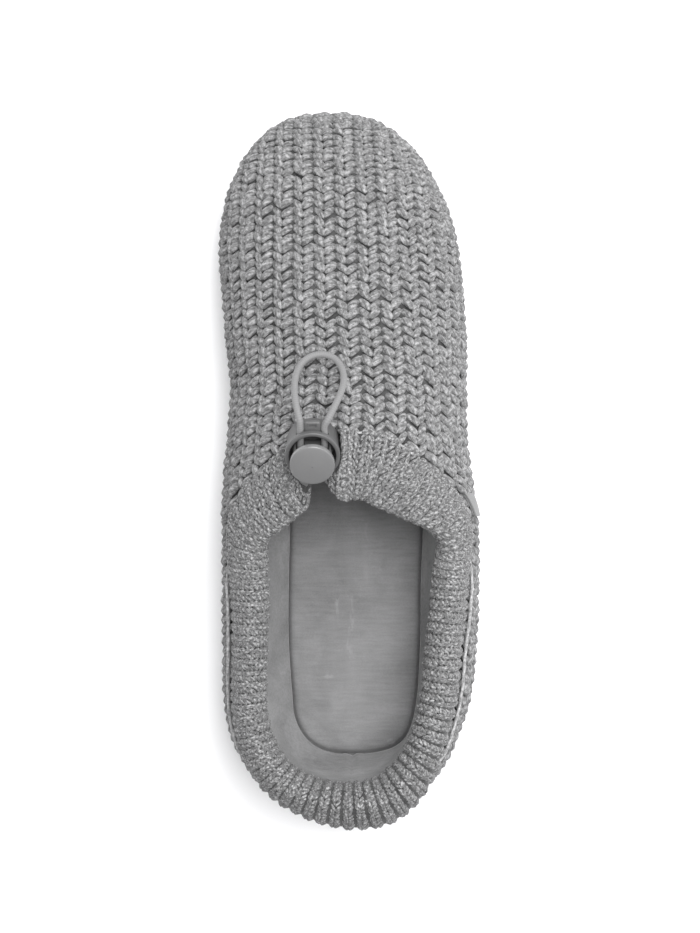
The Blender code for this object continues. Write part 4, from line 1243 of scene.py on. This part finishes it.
def liningPaths(count=220):
    # rim under the roll and foot on the footbed, from the outer side round the heel
    way = np.linspace(0, 1, cuffForm["stations"])
    rim = np.array([cuffPoint(*station, *inside["rimRow"]) for station in cuffStations])
    rim = rim[(way > inside["wayCut"]) & (way < 1 - inside["wayCut"])]
    fronts = []
    for end, angle in ((rim[0], pi - inside["frontAngle"]), (rim[-1], inside["frontAngle"])):
        shares = shareAt(np.linspace(inside["frontY"], end[1] + inside["frontGap"], 6))
        fronts.append(upperPoint(shares, angle) - surfaceNormal(shares, angle) * inside["behindVamp"])
    rim = np.concatenate([fronts[0], rim, fronts[1][::-1]])
    rim = smoothed(resampled(rim, rim, 120), 8)
    foot = np.array(inside["footLine"]) * mm
    foot = splineAt(foot, np.linspace(0, len(foot) - 1, 400))
    height = featherHeight(shareAt(foot[:, 1])) + inside["footbedThick"] * inside["seat"]
    foot = np.column_stack([foot, height + inside["footLift"]])
    return resampled(rim, rim, count), resampled(foot, foot, count)


def makeLining():
    rim, foot = liningPaths()
    t = np.concatenate([np.linspace(0, 0.8, 19), np.linspace(0.8, 1, 10)[1:]])
    wide = rim[:, None] * (1 - t)[None, :, None] + foot[:, None] * t[None, :, None]
    toward = unit((foot - rim) * (1, 1, 0))
    wide = wide - toward[:, None] * (np.sin(pi * t) * inside["sag"])[None, :, None]
    s = np.linspace(0, 1, len(rim))[:, None]
    folds = (np.sin(s * 46 + 5 * t * np.sin(s * 17)) * 0.5 + np.sin(s * 93 + 4 * t + 1.7) * 0.3
             + np.sin(s * 21 - 3 * t) * 0.4)
    folds = folds * np.sin(pi * np.clip(t * 1.05, 0, 1))[None] * inside["wrinkle"]
    wide = wide + toward[:, None] * folds[..., None]
    # the upright seam at the heel: a line pressed in, with a low ridge beside it
    near = np.where(wide[:, :, 1] < inside["seamEndY"], np.abs(wide[:, :, 0] - inside["seamX"]), 1.0)
    groove = np.exp(-(near / inside["seamWide"]) ** 2) * inside["seamDeep"]
    ridge = np.exp(-((near - inside["ridgeBeside"]) / inside["ridgeWide"]) ** 2) * inside["ridgeTall"]
    wide = wide - toward[:, None] * (groove - ridge)[..., None]
    # the edge turns under and reaches the footbed further out
    under = [wide[:, -1] - toward * back * mm - np.array([0, 0, down * mm])
             for back, down in inside["underEdge"]]
    wide = np.concatenate([wide, np.stack(under, 1)], 1)
    made = addObject("velourLining", gridMesh("velourLining", wide), looks["velourLining"])


makeFootbed()
makeLining()
print("footbed and lining made")


# Yarn edges of the collar
edging = {
    "seamRadius": 0.65 * mm,
    "seamProud": 1.3 * mm,
    "frontProud": -1.2 * mm,  # the strand lies hidden in front of shownFrom
    "shownFrom": -34.0 * mm,
    "shownTo": -122.0 * mm,
    "fade": 12.0 * mm,
    "over": 1.2 * mm,
    "endRow": 2.6 * mm,
    "endSections": 9.5,
}
endKnit = {
    "legWide": 1.0 * mm,
    "legTall": 0.9 * mm,
    "climb": 1.2,
    "loose": 1.0,
    "relief": 0.7 * mm,
    "sink": 0.35 * mm,
}


def makeEdgeYarn():
    # a light strand that lies in the line where roll and upper meet
    at = np.linspace(0, len(openRings) - 1, 620)
    path = splineAt(openRings[:, 0], at)
    over = unit(splineAt(openRings[:, 1], at) - path)
    out = np.cross(unit(np.gradient(path, axis=0)), over)
    flip = np.sign(((path - splineAt(openRings.mean(1), at)) * out).sum(1))[:, None]
    shown = (np.clip((edging["shownFrom"] - path[:, 1]) / edging["fade"], 0, 1)
             * np.clip((path[:, 1] - edging["shownTo"]) / edging["fade"], 0, 1))
    proud = edging["frontProud"] + (edging["seamProud"] - edging["frontProud"]) * shown[:, None]
    path = path + out * flip * proud + over * edging["over"]
    made = addObject("seamYarn", roundTube("seamYarn", path, edging["seamRadius"], 10), looks["edgeYarn"])


def makeEndColumns():
    # chunkier stitches that finish the two ends of the collar at the throat
    last = len(cuffRings) - 1
    for name, first, seed in (("endStitchesOuter", 4.6, 31), ("endStitchesInner", last - 5.6, 32)):
        fine = cuffSurface(np.linspace(first, first + 1, 5), np.linspace(0, edging["endSections"], 161))
        arc = lengthAlong(fine)
        count = int(arc[:, -1].min() / edging["endRow"])
        points = linesAt(np.arange(count * 4 + 1) / 4 * edging["endRow"], arc, fine)
        normals = gridNormals(points)
        side = int((first + 0.5) / last * (len(cuffNet["columns"]) - 1))
        if (normals[2, 8] * cuffNet["normals"][side, 8]).sum() < 0:
            normals = -normals
        cells = singleColumn(0.5, count - 0.5)
        made = stitchLegs(name, latticeOf(points, normals), cells, endKnit, "cuffYarn", seed)


makeEdgeYarn()
makeEndColumns()
print("edges of the collar made")


# Shapes of the cord lock
def turnedMesh(name, profile, steps):
    # a profile of radius and height, turned about z
    profile = np.array(profile)
    turn = np.linspace(0, 2 * pi, steps, endpoint=False)
    points = np.stack([profile[:, None, 0] * np.cos(turn), profile[:, None, 0] * np.sin(turn),
                       np.broadcast_to(profile[:, None, 1], (len(profile), steps))], -1)
    return gridMesh(name, points, closeAcross=True)


def rounded(corners, radius, steps=5):
    # the corners of an open profile, each replaced by a small arc
    corners = [np.array(c, float) for c in corners]
    out = [corners[0]]
    for before, here, after in zip(corners, corners[1:], corners[2:]):
        a, b = before - here, after - here
        la, lb = np.linalg.norm(a), np.linalg.norm(b)
        r = min(radius, la * 0.45, lb * 0.45)
        p, q = here + a / la * r, here + b / lb * r
        for t in np.linspace(0, 1, steps):
            out.append((1 - t) ** 2 * p + 2 * t * (1 - t) * here + t * t * q)
    out.append(corners[-1])
    return out


def meshOf(name, work):
    mesh = bpy.data.meshes.new(name)
    work.to_mesh(mesh)
    work.free()
    return mesh


def boxMesh(name, boxes, bevel=0.0):
    work = bmesh.new()
    for middle, size in boxes:
        place = Matrix.Translation(Vector(middle)) @ Matrix.Diagonal((*size, 1))
        bmesh.ops.create_cube(work, size=1, matrix=place)
    if bevel:
        bmesh.ops.bevel(work, geom=work.edges[:], offset=bevel, segments=3, affect="EDGES", profile=0.5)
    return meshOf(name, work)


def carve(target, cutterMesh, sharpFrom):
    # cuts a mesh with another, keeps only the result and shades it smooth up to an angle
    cutter = bpy.data.objects.new(cutterMesh.name, cutterMesh)
    sceneCollection.objects.link(cutter)
    boolean = target.modifiers.new("cut", "BOOLEAN")
    boolean.operation = "DIFFERENCE"
    boolean.object = cutter
    bpy.context.view_layer.update()
    done = bpy.data.meshes.new_from_object(target.evaluated_get(bpy.context.evaluated_depsgraph_get()))
    target.modifiers.clear()
    done.name = target.data.name
    target.data = done
    bpy.data.objects.remove(cutter)
    done.shade_smooth()
    done.set_sharp_from_angle(angle=radians(sharpFrom))


def setOnLock(made, rides, stands):
    made.matrix_world = lockMatrix()
    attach(made, rides)
    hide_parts(stands)


def makeLock():
    hole = cordForm["diameter"] / 2 + form["fitGap"]
    stemEnd = cordForm["level"] - hole - lock["stemBar"]
    floor = stemEnd - lock["travel"] - form["fitGap"]
    barrel = lock["radius"] - lock["rimStep"]
    bore = lock["radius"] - lock["wall"]
    profile = rounded([
        (0.0, floor), (bore, floor), (bore, 0.0), (lock["radius"], 0.0), (lock["radius"], -lock["rim"]),
        (barrel, -lock["rim"] - lock["rimStep"]), (barrel, floor - lock["wall"]),
        (0.0, floor - lock["wall"]),
    ], lock["cupRound"])
    cup = addObject("lockCup", turnedMesh("lockCup", profile, lock["turnSteps"]), looks["lockPlastic"],
                    rides=None)
    rods = bmesh.new()
    for side in (-1, 1):
        put = Matrix.Translation((side * cordForm["spread"], 0, cordForm["level"]))
        bmesh.ops.create_cone(rods, cap_ends=True, segments=32, radius1=hole, radius2=hole,
                              depth=3 * lock["radius"], matrix=put @ Matrix.Rotation(pi / 2, 4, "X"))
    carve(cup, meshOf("cordHoles", rods), lock["sharpFrom"])
    setOnLock(cup, "slipper", "lock_cup")

    bailY = barrel + lock["bailSize"].y / 2 - lock["bevel"]
    bailBox = [((0, bailY, cordForm["level"]), lock["bailSize"])]
    bailHole = [((0, bailY + lock["bevel"], cordForm["level"]), lock["bailHole"])]
    bail = addObject("lockBail", boxMesh("lockBail", bailBox, lock["bailBevel"]), looks["lockPlastic"],
                     rides=None)
    carve(bail, boxMesh("bailHole", bailHole, lock["smallBevel"]), lock["sharpFrom"])
    setOnLock(bail, "slipper", "lock_cup")

    under = lock["travel"] + form["fitGap"]
    top = under + lock["buttonCap"]
    dome = [(lock["buttonRadius"] * sin(a), top - lock["buttonEdge"] * (1 - cos(a)) ** 0.7)
            for a in np.linspace(pi / 2, 0.02, 26)]
    edge = [(0.5 * mm, under), (lock["buttonRadius"], under), (lock["buttonRadius"], dome[0][1]), dome[3]]
    button = [(0.0, under)] + rounded(edge, lock["buttonRound"]) + dome[4:]
    pressed = addObject("lockButton", turnedMesh("lockButton", button, lock["turnSteps"]),
                        looks["buttonPlastic"], rides=None)
    setOnLock(pressed, "plunger", "lock_button")

    stemTop = under + lock["bevel"]
    stemBox = [((0, 0, (stemTop + stemEnd) / 2), (lock["stemWidth"], lock["stemDepth"], stemTop - stemEnd))]
    stem = addObject("lockStem", boxMesh("lockStem", stemBox, lock["smallBevel"]), looks["lockPlastic"],
                     rides=None)
    slotLow = cordForm["level"] - hole
    slotHigh = cordForm["level"] + hole + lock["travel"]
    slots = [((side * cordForm["spread"], 0, (slotLow + slotHigh) / 2),
              (2 * hole, 2 * lock["stemDepth"], slotHigh - slotLow)) for side in (-1, 1)]
    carve(stem, boxMesh("stemSlots", slots), lock["sharpFrom"])
    setOnLock(stem, "plunger", "lock_button")


makeLock()
print("cord lock made")

# The side tab, blank, and the lighter layer that shows under it
tab = {
    "width": 9.0 * mm,
    "drop": 10.0 * mm,
    "y": -15.0 * mm,
    "proud": 2.0 * mm,
    "thick": 0.9 * mm,
    # name: look, share of the width, start in millimetres, end as a share of the drop, lift in millimetres
    "layers": {
        "sideTab": ("tabTape", 1, 0.3, 1.0, 0.0),
        "sideTabLiner": ("tabLight", 0.9, 0.55, 1.12, -0.5),
    },
}


def makeSideTab():
    middle = shareAt(tab["y"])
    half = tab["width"] / 2 / form["featherLength"]
    angles = np.linspace(pi / 2, pi, 600)
    for name, (look, wide, start, end, lift) in tab["layers"].items():
        sheet = []
        for station in np.linspace(middle - half * wide, middle + half * wide, 16):
            line = upperPoint(station, angles)
            below = seamHeight(line[:, 1]) - line[:, 2]
            first, last = (angles[int(np.argmax(below > drop))]
                           for drop in (start * mm, end * tab["drop"]))
            across = np.linspace(first, last, 14)
            normal = surfaceNormal(np.full(14, station), across)
            sheet.append(upperPoint(np.full(14, station), across) + normal * (tab["proud"] + lift * mm))
        made = addObject(name, gridMesh(name, np.array(sheet)), looks[look], stands=["side_tab"])
        wall = made.modifiers.new("wall", "SOLIDIFY")
        wall.thickness = tab["thick"]
        wall.offset = -1
        soft = made.modifiers.new("soft", "BEVEL")
        soft.width = 0.25 * mm
        soft.segments = 2


makeSideTab()

# Sole
soleForm = {
    "welt": 1.2 * mm,
    "grooveWidth": 3.2 * mm,
    "groovePitch": 9.0 * mm,
    "grooveDepth": 1.8 * mm,
    "grooveMargin": 8.0 * mm,
    # height up the sole's wall as a share, and how far it lies in there, in millimetres
    "wall": ((0.00, 3.00), (0.05, 1.50), (0.14, 0.60), (0.28, 0.05), (0.40, 0.00), (0.50, 0.00),
             (0.53, 0.20), (0.56, 0.85), (0.62, 0.90), (0.68, 0.85), (0.71, 0.20), (0.74, 0.00),
             (0.84, 0.00), (0.93, 0.10), (0.98, 0.45), (1.00, 0.90)),
}


def makeSole():
    rings = []
    for level, inset in soleForm["wall"]:
        plan, share = featherRing(soleForm["welt"] - inset * mm)
        lift = tableValue(soleProfile, "spring", share) * form["soleSpring"]
        tread = tableValue(soleProfile, "tread", share) * form["soleHeight"] + lift
        edge = featherHeight(share) - form["fitGap"]
        rings.append(np.column_stack([plan, tread + level * (edge - tread)]))
    points = np.array(rings)
    mesh = gridMesh("rubberSole", points, closeAcross=True)
    closeHole(mesh, len(points[0]), 0, True)
    closeHole(mesh, len(points[0]), len(points) - 1)
    work = bmesh.new()
    work.from_mesh(mesh)
    bmesh.ops.recalc_face_normals(work, faces=work.faces)
    work.to_mesh(mesh)
    work.free()
    sole = addObject("rubberSole", mesh, looks["soleRubber"], stands=["outsole"])
    grooves = []
    shares = soleProfile["share"]
    for start, end in ((shares[2], shares[3]), (shares[5], shares[6])):
        first = form["heelEndY"] + start * form["featherLength"] + soleForm["groovePitch"]
        last = form["heelEndY"] + end * form["featherLength"] - soleForm["grooveWidth"]
        for y in np.arange(first, last, soleForm["groovePitch"]):
            left, right = (upperPoint(shareAt(y), a)[0] for a in (-1, pi + 1))
            wide = right - left - 2 * soleForm["grooveMargin"]
            size = (wide, soleForm["grooveWidth"], 2 * soleForm["grooveDepth"])
            grooves.append((((left + right) / 2, y, 0), size))
    carve(sole, boxMesh("soleGrooves", grooves, 0.4 * mm), 50)


makeSole()
print("sole made")
